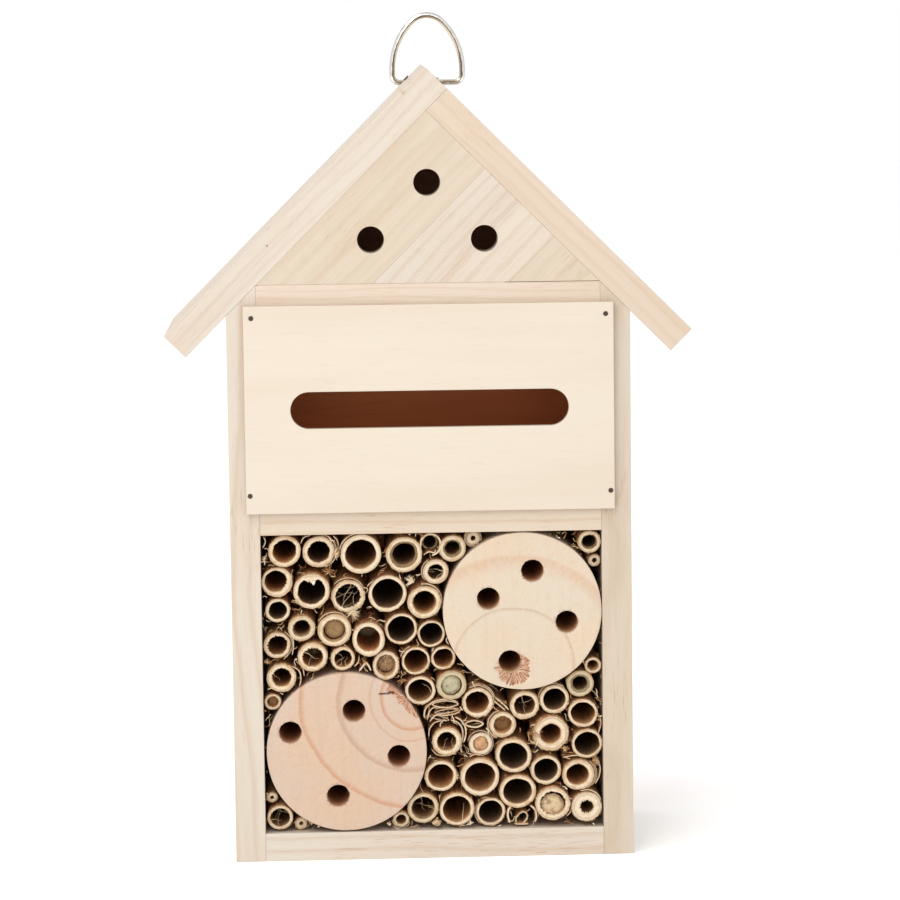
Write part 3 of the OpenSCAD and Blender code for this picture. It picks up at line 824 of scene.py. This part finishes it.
def add_squashed(shape, x, z, width, thick, tilt, wall, mouth, back, seed):
    """A reed pressed flat: a lens with a dark slit in it."""
    turn = radians(tilt)
    inner_w, inner_t = max(0.3, width / 2 - 1.5 * wall), max(0.12, thick / 2 - wall)
    levels = ((1, back, "bark"), (1, mouth + 1, "bark"), (1, mouth, "cut"), (0, mouth + 0.1, "bore"),
              (0, back, "bark"))
    rows = []
    for share, y, _ in levels:
        half_w = inner_w + share * (width / 2 - inner_w)
        half_t = inner_t + share * (thick / 2 - inner_t)
        row = []
        for theta in turns(48):
            u = half_w * cos(theta)
            v = half_t * sin(theta) * (1 - 0.3 * cos(theta) ** 2) + 0.12 * rough(seed, 2, theta)
            lip = 0.25 * rough(seed, 4, theta) if y < mouth + 1.5 else 0
            row.append(shape.point(x + u * cos(turn) - v * sin(turn), y + lip,
                                   z + u * sin(turn) + v * cos(turn), share, max(0.0, y - mouth)))
        rows.append(row)
    shape.bands([level[2] for level in levels], rows)


# Crushed reeds: (x, z, width, thickness, tilt, wall, how far behind the front)
SQUASHED = [
    (4.5, 59.5, 10.5, 3.2, 0, 0.5, 2.5), (5, 56.6, 9.4, 2.0, 6, 0.45, 3.5),
    (2, 54, 8.4, 1.9, -14, 0.4, 4), (15.5, 51.5, 7.8, 3.2, 0, 0.6, 3),
    (-2.5, 56.5, 5.4, 1.8, 75, 0.4, 4), (11.6, 49, 6.4, 1.8, 100, 0.4, 4.5),
]
# Leaf strips and split shells: (path in X and Z, thickness, how far behind the front, tone)
STRIPS = [
    ([(-3.6, 54.2), (-3.3, 57.2), (-1.4, 59.6), (1.6, 61.1), (6, 61.4), (9.4, 60.2)], 0.5, 2, 0.3),
    ([(-2.4, 53.4), (-1.7, 56.2), (-0.3, 58), (1.8, 58.4)], 0.45, 2.6, 0.45),
    ([(-1.5, 52.8), (1, 55.3), (5, 55.1), (9, 55.9), (10.8, 57.6)], 0.45, 2.4, 0.5),
    ([(8.2, 54.4), (10.4, 53.2), (12, 50.6), (12.3, 47.6), (11.4, 44.4)], 0.5, 2, 0.55),
    ([(6.6, 53.2), (9.2, 52.2), (10.9, 49.8), (11.1, 46.6), (10.3, 42.6), (10.6, 40.2)], 0.5, 2.6, 0.75),
    ([(-1.9, 46.5), (-1.6, 49.6), (0.4, 52.2), (3.4, 53)], 0.4, 3, 0.45),
    ([(-1, 41.8), (1.4, 39.6), (5, 39.2), (8.4, 40.2)], 0.4, 3.2, 0.4),
    ([(0.6, 57.6), (3.4, 58), (7, 57.8), (10, 57.4)], 0.35, 3, 0.6),
    ([(23.6, 61.9), (26.4, 59.6), (28.9, 56.9)], 0.55, 1.6, 0.35),
    ([(22.9, 60.6), (25.3, 58.7), (27.6, 56.5)], 0.5, 2.2, 0.4),
    ([(-28.3, 73.1), (-26.8, 75), (-25.7, 76.3), (-24.6, 75), (-23.8, 73.2)], 0.6, 1.6, 0.15),
    ([(-54.2, 88.4), (-53.4, 85.6), (-53.3, 82.6), (-53.8, 79.8)], 0.4, 2.6, 0.45),
    ([(-30.2, 74.8), (-28.6, 76.4), (-28.2, 78.6)], 0.4, 2.4, 0.3),
    ([(29.6, 19.6), (28.3, 17.6), (28.1, 15.2), (28.8, 12.7)], 0.8, 1.6, 0.5),
    ([(36.7, 19.3), (38.4, 17.9), (39.1, 15.4), (38.7, 12.8)], 0.75, 1.8, 0.3),
    ([(30.6, 12.1), (33, 11.9), (36, 12)], 0.5, 2.2, 0.4),
    ([(-4.2, 120.4), (-3.7, 123.6), (-1.2, 125.6), (2, 124.9), (3.4, 122.2), (2.6, 119), (0.2, 117.4)],
     0.7, 1.4, 0.3),
    ([(-3, 117.6), (-1, 118.8), (1, 118.4), (1.7, 119.6)], 0.4, 1.8, 0.05),
    ([(-49.8, 122.8), (-48.6, 125), (-46, 125.9)], 0.35, 2.2, 0.5),
    ([(-37.4, 125.5), (-35.9, 123.8), (-35.4, 121.6)], 0.4, 2, 0.35),
    ([(-53.9, 75.4), (-51.3, 73.6), (-50.6, 70.4), (-51.2, 67.6)], 0.4, 2.2, 0.45),
    ([(-52.4, 77.4), (-50, 74.6), (-49.3, 71.4)], 0.35, 3, 0.6),
    ([(-63.4, 66.6), (-61, 67.3), (-58.7, 66.6)], 0.4, 2, 0.35),
    ([(6.4, 86.2), (5.2, 84.4), (6.2, 82.6)], 0.35, 2.4, 0.45),
    ([(37.3, 50.4), (40.3, 50.6), (42.8, 51.3)], 0.6, 3, 0.35),
    ([(36.9, 44.6), (38.9, 43.2), (40.6, 42.8)], 0.4, 2.4, 0.1),
    ([(49.6, 37.6), (52.8, 38.2), (55.6, 38.4)], 0.4, 2.6, 0.3),
    ([(62.8, 37), (63.9, 34), (63.6, 30.4), (62, 27.2)], 0.4, 2, 0.3),
    ([(50.8, 14.5), (52.5, 16.4), (52.8, 19.4)], 0.4, 2.6, 0.4),
    ([(63.3, 46.6), (64.4, 50.4), (64.2, 53.6)], 0.35, 2.4, 0.4),
    ([(-64.3, 121.2), (-63.2, 123.6), (-63.9, 125.6)], 0.35, 2, 0.2),
    ([(13.6, 38.6), (15.4, 39.6), (17.8, 39.3)], 0.35, 2.2, 0.4),
]


def is_free(x, z, rounds, margin):
    """Whether a place in the compartment is clear of every reed and log by a margin."""
    if not (floor_top + margin < z < shelf_bottom - margin and abs(x) < wall_x - margin):
        return False
    return all(hypot(x - r[0], z - r[1]) > r[2] + margin for r in rounds)


def add_gap_fibres(shape, rounds, count, seed):
    """Short curled fibres and crumbs in the gaps between the reeds."""
    rng = random.Random(seed)
    made = 0
    while made < count:
        x, z = rng.uniform(-wall_x, wall_x), rng.uniform(floor_top, shelf_bottom)
        if not is_free(x, z, rounds, 0.25):
            continue
        made += 1
        y = FRONT + 1.2 + 9 * rng.random() ** 2
        # Fibres further behind the front get a browner tone: painted shade deeper in the gaps.
        shape.tone = min(1.0, max(0.0, rng.gauss(0.42, 0.25) + 0.03 * (y - FRONT)))
        path = [Vector((x, y, z))]
        way = rng.uniform(0, 2 * pi)
        for _ in range(rng.randint(2, 5)):
            way += rng.uniform(-1.0, 1.0)
            step = rng.uniform(0.5, 1.3)
            at = path[-1] + Vector((step * cos(way), rng.uniform(-0.8, 0.8), step * sin(way)))
            at.y = max(at.y, FRONT + 0.6)
            if not is_free(at.x, at.z, rounds, -0.3):
                break
            path.append(at)
        if len(path) > 2:
            add_strand(shape, curve_through(path, 3), rng.uniform(0.16, 0.4))
        elif rng.random() < 0.6:
            size = rng.uniform(0.4, 1.0)
            add_lump(shape, (x, y, z), (size, 1.5 * size, 0.7 * size), made, "fibre", 5, 8)


def add_tuft(shape, x, z, reach, count, tones, seed, lift):
    """Fibres that stand out from one place, as torn grass does."""
    rng = random.Random(seed)
    for _ in range(count):
        shape.tone = rng.uniform(*tones)
        theta = radians(rng.uniform(*lift))
        length = reach * rng.uniform(0.5, 1.0)
        start = Vector((x + rng.uniform(-0.5, 0.5), FRONT + rng.uniform(0.8, 3), z + rng.uniform(-0.5, 0.5)))
        out = Vector((cos(theta), rng.uniform(-0.4, 0.4), sin(theta)))
        bend = Vector((-out.z, 0.2, out.x)) * rng.uniform(-0.5, 0.5)
        path = [start, start + length * (0.5 * out + 0.25 * bend), start + length * (out + bend)]
        for p in path:
            p.y = max(p.y, FRONT + 0.3)
        add_strand(shape, curve_through(path, 4), rng.uniform(0.2, 0.4))


# ---------------------------------------------------------------------- logs

LOG_HOLE_R = 4.25


def smooth(value, low, high):
    t = min(1.0, max(0.0, (value - low) / (high - low)))
    return t * t * (3 - 2 * t)


def burst(x, z, centre, reach):
    """(how torn, how deep) where dry splinters radiate from a centre."""
    away = hypot(x - centre[0], z - centre[1])
    angle = atan2(z - centre[1], x - centre[0])
    edge = reach * (0.93 + 0.16 * rough(3, 7, angle) + 0.1 * rough(9, 17, angle))
    torn = 1 - smooth(away, edge - 0.5, edge + 0.35)
    ridge = 0.5 + 0.5 * sin(31 * angle + 2.5 * rough(4, 3, angle, 0.5 * away))
    return torn, torn * (0.15 + 0.75 * ridge)


def strip(x, z, start, end, width):
    """(how torn, how deep) along a torn strip from start to end."""
    a, b, p = Vector(start), Vector(end), Vector((x, z))
    share = min(1.0, max(0.0, (p - a).dot(b - a) / (b - a).length_squared))
    away = (p - a.lerp(b, share)).length
    edge = width * (1 + 0.55 * noise.noise(Vector((0.55 * x, 0.55 * z, 2.0))))
    torn = 1 - smooth(away, edge - 0.5, edge + 0.3)
    return torn, torn * (0.5 + 0.6 * noise.noise(Vector((1.3 * x, 1.3 * z, 7.0))))


def add_log(shape, node, holes, tears, crack, seed):
    """A log slice: a triangulated sawn face with bored holes, worn edges and torn places.

    A point's across says how torn it is, and its tone how cracked.
    """
    low, high = (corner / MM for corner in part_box(node))
    x0, z0 = (low.x + high.x) / 2, (low.z + high.z) / 2
    radius, face_y, back = (high.x - low.x) / 2, low.y, high.y
    pitch, rim = 0.52, 0.35
    outline_steps, hole_steps = 240, 84

    def log_edge(theta):
        return radius - 0.06 + 0.1 * rough(seed, 2.5, theta) - 0.06 * abs(rough(seed, 14, theta))

    def hole_edge(k, theta):
        low_side = 0.5 - 0.5 * sin(theta)
        chips = max(0.0, rough(seed + k, 8, theta)) * (0.3 + 0.9 * low_side)
        return LOG_HOLE_R + 0.05 + chips

    def relief(x, z):
        """(torn, crack, depth) of the sawn face at a place."""
        depth = 0.05 * noise.noise(Vector((0.35 * x, 0.35 * z, seed)))
        depth += 0.03 * noise.noise(Vector((2 * x, 0.3 * z, seed)))
        torn = 0.0
        for shape_of, settings in tears:
            found, deep = shape_of(x, z, *settings)
            torn = max(torn, found)
            depth += deep
        split = 0.0
        if crack:
            (x1, z1), (x2, z2) = crack
            along = (x - x1) / (x2 - x1)
            share = min(1.0, max(0.0, along))
            middle = z1 + (z2 - z1) * share + 0.25 * noise.noise(Vector((1.5 * x, 0, 4.0)))
            half = 0.12 + 0.3 * share
            if -0.02 < along < 1.02:
                split = 1 - smooth(abs(z - middle), 0.5 * half, half + 0.15)
        return torn, split, depth + 0.5 * split

    outlines = [[on_circle(x0, z0, log_edge(t) - rim, t) for t in turns(outline_steps)]]
    for k, (hx, hz) in enumerate(holes):
        outlines.append([on_circle(hx, hz, hole_edge(k, t) + 0.12, t) for t in turns(hole_steps)])
    flat, edges = [], []
    for outline in outlines:
        first = len(flat)
        flat += [Vector(p) for p in outline]
        edges += [(first + i, first + (i + 1) % len(outline)) for i in range(len(outline))]
    rng = random.Random(seed)
    rows = int(radius / pitch) + 1
    for i in range(-rows, rows + 1):
        for j in range(-rows, rows + 1):
            x = x0 + pitch * (j + 0.5 * (i % 2) + rng.uniform(-0.15, 0.15))
            z = z0 + pitch * (0.87 * i + rng.uniform(-0.15, 0.15)) * 1.15
            if hypot(x - x0, z - z0) > radius - rim - 0.45:
                continue
            if all(hypot(x - hx, z - hz) >= LOG_HOLE_R + 1.1 for hx, hz in holes):
                flat.append(Vector((x, z)))
    made, _, triangles, origins, _, _ = delaunay_2d_cdt(flat, edges, [], 0, 1e-6)

    def face_point(x, z, extra=0.0, deep=0.0):
        torn, split, depth = relief(x, z)
        index = shape.point(x, face_y + extra + max(0.0, 0.08 + depth), z, torn, deep)
        shape.values[index] = (torn, deep, split, 0.0)
        return index

    def in_hole(p):
        return any(hypot(p.x - hx, p.y - hz) < hole_edge(k, atan2(p.y - hz, p.x - hx)) + 0.1
                   for k, (hx, hz) in enumerate(holes))

    numbers = [face_point(p.x, p.y) for p in made]
    place = {source: number for number, origin in zip(numbers, origins) for source in origin}
    for corners in triangles:
        if not in_hole(sum((made[c] for c in corners), Vector((0, 0))) / len(corners)):
            shape.face("log", [numbers[c] for c in corners])

    def follow(kind, row, x, z, reach, y, deep=0.0, sawn=False):
        """Joins a row to a further one, on the sawn face or on the wall behind it."""
        further = []
        for t in turns(len(row)):
            px, pz = on_circle(x, z, reach(t), t)
            further.append(face_point(px, pz, y, deep) if sawn else shape.point(px, y, pz, 0.0, deep))
        shape.band(kind, row, further)
        return further

    row = [place[i] for i in range(outline_steps)]
    row = follow("log", row, x0, z0, lambda t: log_edge(t) - 0.1, 0.1, sawn=True)
    row = follow("log", row, x0, z0, log_edge, 0.4, sawn=True)
    for y in (face_y + 4, (face_y + back) / 2, back):
        row = follow("side", row, x0, z0, log_edge, y)
    shape.face("log", row)

    for k, (hx, hz) in enumerate(holes):
        first = outline_steps + k * hole_steps
        row = [place[i] for i in range(first, first + hole_steps)]
        row = follow("log", row, hx, hz, lambda t: hole_edge(k, t), 0.15, 0.2, sawn=True)
        full = hole_depth(node, hx, hz)
        for share, ease in ((0.012, 0.5), (0.03, 0.1), (0.08, 0), (0.2, 0), (0.45, 0), (1.0, 0)):
            reach = lambda t: LOG_HOLE_R + ease * (hole_edge(k, t) - LOG_HOLE_R)
            row = follow("log", row, hx, hz, reach, face_y + share * full, share * full)
        shape.cone("log", row, shape.point(hx, face_y + full, hz, 0.0, full))


def hole_depth(node, x, z):
    """How far a log's blind hole goes in, from the CAD mesh."""
    low, high = (corner.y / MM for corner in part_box(node))
    points = [v.co / MM for v in NODES[node].data.vertices]
    return max(p.y for p in points if hypot(p.x - x, p.z - z) < 6 and p.y < high - 1) - low


def hole_places(prefix):
    """Middles of the openings whose names start with a prefix, in millimetres."""
    found = []
    for name, (low, high) in sorted(OPENINGS.items()):
        if name.startswith(prefix):
            found.append(((low[0] + high[0]) / 2 / MM, (low[2] + high[2]) / 2 / MM))
    return found


# ------------------------------------------------------------- board by board

LEFT_SLOPE = (1, 0, 1)
RIGHT_SLOPE = (1, 0, -1)
UPRIGHT = (0, 0, 1)
LEVEL = (1, 0, 0)

# (grain, tinge, what else differs from board_wood's defaults) of each board
BOARDS = {
    "side_left": (UPRIGHT, "#EEF0F2", dict(period=3.6)),
    "side_right": (UPRIGHT, "#E9E9E7", dict(period=4.1)),
    "floor_board": (LEVEL, "#EFF2F5", dict(period=3.4)),
    "middle_shelf": (LEVEL, "#F3F0EC", dict(period=3.9)),
    "attic_floor": (LEVEL, "#F3EFEE", dict(period=3.1, contrast=0.35, warm=0.3)),
    "roof_left": (LEFT_SLOPE, "#EFF2F6", dict(period=4.4, contrast=0.3)),
    "roof_right": (RIGHT_SLOPE, "#EDE8E4", dict(period=4.7, contrast=0.3)),
    "gable_back": (LEVEL, "#F0A88E", {}),
    "gable_strip_1": (LEFT_SLOPE, "#EAE9E5", dict(period=7, contrast=0.3)),
    "gable_strip_2": (LEFT_SLOPE, "#ECEEF0", dict(period=4.6, contrast=0.45)),
    "gable_strip_3": (LEFT_SLOPE, "#EFF0F1", dict(period=5.4, contrast=0.4)),
    "gable_strip_4": (LEFT_SLOPE, "#EAE9E5", dict(period=6.2, contrast=0.3)),
}
board = {node: board_wood(f"{node}_wood", grain, seed, tinge, **more)
         for seed, (node, (grain, tinge, more)) in enumerate(BOARDS.items(), 1)}
# A dark olive spot on the roof beside the ring, and a smaller dark mark lower down.
board["roof_left"] = dark_round_mark(board["roof_left"], -8.5, 293.5, 1.3, "#8E7C52", 0.6, 1.3)
board["roof_left"] = dark_round_mark(board["roof_left"], -60.5, 236.7, 0.6, "#5B4636", 0.85, 0.5)

looks = {node: finished(parts) for node, parts in board.items()}

# The back panel's colours are for its inner face, brightened as painted light that comes in through the slot;
# outside brings its outer face down to a reddish brown.
veneers = (
    ("front_panel", ("#BEB3A3", "#B8A998", "#9E8566"), "#FFFFFF"),
    ("back_panel", ("#E27A3A", "#C46426", "#6E3C1A"), "#C9BFC4"),
)
for seed, (node, colours, outside) in enumerate(veneers, 1):
    near, far = (corner.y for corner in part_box(node))
    looks[node] = plywood(f"{node}_veneer", *colours, seed, far - near, near, outside)
for node, material in looks.items():
    glued = node.startswith("gable_strip") or node == "attic_floor"
    make_worn_copy(node, material, JOINT_WEAR if glued else EDGE_WEAR)


GABLE_HOLE_R = 5.0
FILLER_BEHIND = 0.1  # how far the glue lies behind the face
FILLER_DEEP = 3


def add_filler(shape, ends, behind, low, high):
    """A bar of glue between two (x, z) ends, from low to high over them."""
    front, back = FRONT + behind, FRONT + FILLER_DEEP
    section = ((front, low), (front, high), (back, high), (back, low))
    rows = [[shape.point(x, y, z + rise) for y, rise in section] for x, z in ends]
    shape.band("glue", *rows)
    for row in rows:
        shape.face("glue", row)


def add_joint_filler(shape, node, low=0.0, high=0.1):
    """Glue in the joint above a gable strip, clear of the holes."""
    front = [v.co / MM for v in NODES[node].data.vertices if v.co.y / MM < FRONT + 0.01]
    top = max(p.z - p.x for p in front)
    ends = sorted(p.x for p in front if p.z - p.x > top - 0.01)
    bits = 120
    at = [ends[0] + (ends[-1] - ends[0]) * i / bits for i in range(bits + 1)]
    holes = hole_places("gable_hole")
    for start, end in zip(at, at[1:]):
        if all(hypot(start - x, start + top - z) >= GABLE_HOLE_R + 0.6 for x, z in holes):
            add_filler(shape, ((start, start + top), (end, end + top)), FILLER_BEHIND, low, high)


filler = Shape()
add_joint_filler(filler, "gable_strip_1", -0.12, 0.36)
for number in (2, 3, 4):
    add_joint_filler(filler, f"gable_strip_{number}")
attic_right, _, attic_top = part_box("attic_floor")[1] / MM
add_filler(filler, ((-0.99 * attic_right, attic_top), (29, attic_top)), 0.12, 0, 0.2)
glue = finished(board_wood("joint_glue", LEFT_SLOPE, 13, "#E6DCCB"))
make_piece("gable_joint_glue", filler, {"glue": glue})

metals = {
    "panel_pins": metal("pin_steel", "#4A4038", "#2E241C", 0.5, 0.8),
    "board_nails": metal("nail_steel", "#80766C", "#4E3B2C", 0.38, 0.7),
    "hanging_ring": painted_reflection_wire("ring_nickel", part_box("hanging_ring")),
    "hanger_strap": metal("strap_nickel", "#BDB8AE", "#827A6E", 0.26, 0.4),
    "hanger_screw": metal("screw_zinc", "#B9B29A", "#83785C", 0.3, 0.5),
}
for node, material in metals.items():
    NODES[node].data.materials.clear()
    NODES[node].data.materials.append(material)

# ---------------------------------------------------------- logs, then reeds

RED_RING = "#CC8B5C"
BROWN_RING = "#B58E6C"
# What differs between the logs: torn places, crack, pith, rings, strength of the rays, and tinge
LOGS = {
    "upper": (
        [(burst, ((30.8, 73.1), 6.9))], None, (31, 73.5),
        [(23.5, 0.4, 1.5, BROWN_RING), (43, 0.32, 6, RED_RING)], 0.3, "#D9DFE6"),
    "lower": (
        [(strip, ((-16, 66.4), (-7, 56.8), 1.9))], ((-21, 64.3), (-15.2, 64.8)), (-9, 62),
        [(11.5, 0.7, 1.8, RED_RING), (16, 0.35, 1.2, RED_RING), (28, 0.5, 2.4, BROWN_RING),
         (42, 0.6, 2.2, RED_RING)], 0.25, "#D1CED4"),
}
for seed, (which, (tears, crack, *look)) in enumerate(LOGS.items(), 21):
    node = f"log_{which}"
    slice_shape = Shape(tone=0.0, age=0.0)
    add_log(slice_shape, node, hole_places(f"{which}_log_hole"), tears, crack, seed)
    wood = log_wood(f"{which}_log_wood", *look)
    make_piece(f"{which}_log_slice", slice_shape, {"log": wood, "side": wood}, [node])

REED_KINDS = {"cut": reed_cut(), "bark": reed_bark(), "bore": reed_bore(), "pith": pith(), "fibre": fibres()}
wall_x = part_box("side_right")[0].x / MM
floor_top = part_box("floor_board")[1].z / MM
shelf_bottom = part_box("middle_shelf")[0].z / MM

rounds = []
for number in WIDE_LOOKS:
    node = f"reed_{number:02d}"
    tube = read_rounds(node)[0]
    rounds.append(tube)
    shape = Shape()
    add_reed(shape, tube, WIDE_LOOKS[number], number)
    make_piece(f"cut_{node}", shape, REED_KINDS, [node])

for number, tube in enumerate(read_rounds("thin_reeds"), 1):
    rounds.append(tube)
    shape = Shape()
    look = nearest_look(tube, THIN_LOOKS) or THIN_LOOK_CYCLE[number % len(THIN_LOOK_CYCLE)]
    add_reed(shape, tube, {"fuzz": 8, "skin": 0.12, **look}, 50 + number)
    make_piece(f"cut_thin_reed_{number:02d}", shape, REED_KINDS, ["thin_reeds"])

for log in ("log_upper", "log_lower"):
    low, high = (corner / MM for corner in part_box(log))
    rounds.append(((low.x + high.x) / 2, (low.z + high.z) / 2, (high.x - low.x) / 2))

reed_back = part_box("reed_01")[1].y / MM
crushed = Shape(tone=0.45, age=0.9)
for seed, (x, z, width, thick, tilt, wall, behind) in enumerate(SQUASHED):
    add_squashed(crushed, x, z, width, thick, tilt, wall, FRONT + behind, reed_back, 80 + seed)
make_piece("pressed_reeds", crushed, REED_KINDS, ["crushed_reeds"])

strips = Shape()
for seed, (path, thick, behind, tone) in enumerate(STRIPS):
    strips.tone = tone
    add_ribbon(strips, path, thick, FRONT + behind, FRONT + behind + 24, 120 + seed)
make_piece("leaf_strips", strips, REED_KINDS)

litter = Shape()
add_gap_fibres(litter, rounds, 420, 7)
TUFTS = [
    (-36.8, 119, 2.6, 26, (0.1, 0.6), (-80, 90)), (-7.5, 107.5, 3.2, 30, (0.0, 0.25), (60, 230)),
    (-30.5, 96, 3.2, 26, (0.05, 0.5), (200, 380)), (-63.8, 117, 2.6, 12, (0.0, 0.4), (0, 360)),
    (38.8, 47.6, 3.4, 60, (0.6, 1.0), (0, 360)), (40, 44.4, 2.6, 14, (0.0, 0.4), (150, 330)),
    (61.9, 36.5, 2.4, 24, (0.3, 0.9), (0, 360)), (-24.6, 68.8, 1.6, 10, (0.1, 0.6), (0, 360)),
    (-51.5, 100.5, 2.0, 12, (0.2, 0.7), (0, 360)), (-63.2, 77.4, 1.8, 10, (0.3, 0.9), (0, 360)),
    (-39.5, 112.4, 2.4, 18, (0.5, 1.0), (0, 360)), (8.5, 31.5, 1.4, 8, (0.1, 0.5), (0, 360)),
    (13.6, 12.8, 1.4, 12, (0.0, 0.3), (0, 180)), (-17.6, 13, 1.6, 10, (0.1, 0.6), (0, 180)),
    (-47.5, 14.2, 1.8, 14, (0.2, 0.8), (0, 180)), (50.3, 41.5, 1.8, 14, (0.3, 0.9), (0, 360)),
]
for seed, (x, z, reach, count, tones, lift) in enumerate(TUFTS):
    add_tuft(litter, x, z, reach, count, tones, 200 + seed, lift)
# Crumbs caught between the reeds: (place, with how far behind the front, size, seed, kind, tone)
LUMPS = (
    ((0.7, 2.6, 13.2), (3.4, 4.0, 2.4), 5, "pith", 0.25),
    ((-46.3, 3.1, 108.8), (3.6, 2.6, 2.2), 9, "fibre", 0.95),
    ((-46.9, 2.6, 109.3), (3.0, 2.4, 2.4), 11, "fibre", 0.0),
    ((-45.2, 2.4, 108.2), (1.6, 2.0, 2.8), 12, "fibre", 0.0),
)
for (x, behind, z), size, seed, kind, tone in LUMPS:
    litter.tone = tone
    add_lump(litter, (x, FRONT + behind, z), size, seed, kind)
make_piece("gap_litter", litter, REED_KINDS)

# --------------------------------------------------- floor, lights and camera

TARGET = Vector((0, 0, 0.15))
FLOOR_HALF = 6
# (name, place, size, watts) of each square light, in metres
LIGHTS = (
    ("key_light", (-0.55, -1.25, 1.15), 0.7, 7),
    ("top_light", (-1.0, -0.5, 1.8), 0.8, 17),
    ("front_light", (-0.05, -1.75, 0.55), 1.1, 8),
)
CAMERA_AT = Vector((-35, -1426.8, 325)) * MM
PITCH, YAW, ROLL = 0.1196, 0.0548, 0.0096
LENS, SHIFT_X, SHIFT_Y = 146.94, -0.0979, -0.0017

scene = bpy.context.scene
scene.view_settings.view_transform = "Standard"


def add_to_scene(name, data):
    thing = bpy.data.objects.new(name, data)
    scene.collection.objects.link(thing)
    return thing


floor_mesh = bpy.data.meshes.new("studio_floor")
corners = [(x * FLOOR_HALF, y * FLOOR_HALF, 0) for x, y in ((-1, -1), (1, -1), (1, 1), (-1, 1))]
floor_mesh.from_pydata(corners, [], [(0, 1, 2, 3)])
paper = Surface("studio_paper")
floor_mesh.materials.append(paper.finish(
    paper.ramp(paper.noise(paper.place, 3), (0.0, "#FDFDFD"), (1.0, "#FFFFFF")), 0.9))
add_to_scene("studio_floor", floor_mesh)

world = bpy.data.worlds.new("studio")
world.use_nodes = True
world.node_tree.nodes["Background"].inputs["Color"].default_value = (1, 1, 1, 1)
world.node_tree.nodes["Background"].inputs["Strength"].default_value = 1.0
scene.world = world

for name, at, size, watts in LIGHTS:
    light = bpy.data.lights.new(name, "AREA")
    light.size = size
    light.energy = watts
    holder = add_to_scene(name, light)
    holder.location = at
    holder.rotation_euler = (TARGET - Vector(at)).to_track_quat("-Z", "Y").to_euler()

ahead = Vector((sin(YAW) * cos(PITCH), cos(YAW) * cos(PITCH), -sin(PITCH)))
level = ahead.cross(Vector((0, 0, 1))).normalized()
above = level.cross(ahead)
right = level * cos(ROLL) - above * sin(ROLL)
above = right.cross(ahead)
camera_data = bpy.data.cameras.new("camera")
camera_data.lens = LENS
camera_data.shift_x = SHIFT_X
camera_data.shift_y = SHIFT_Y
camera_data.sensor_width = 36
camera_data.clip_start = 0.05
camera = add_to_scene("camera", camera_data)
camera.matrix_world = Matrix.Translation(CAMERA_AT) @ Matrix((right, above, -ahead)).transposed().to_4x4()
scene.camera = camera
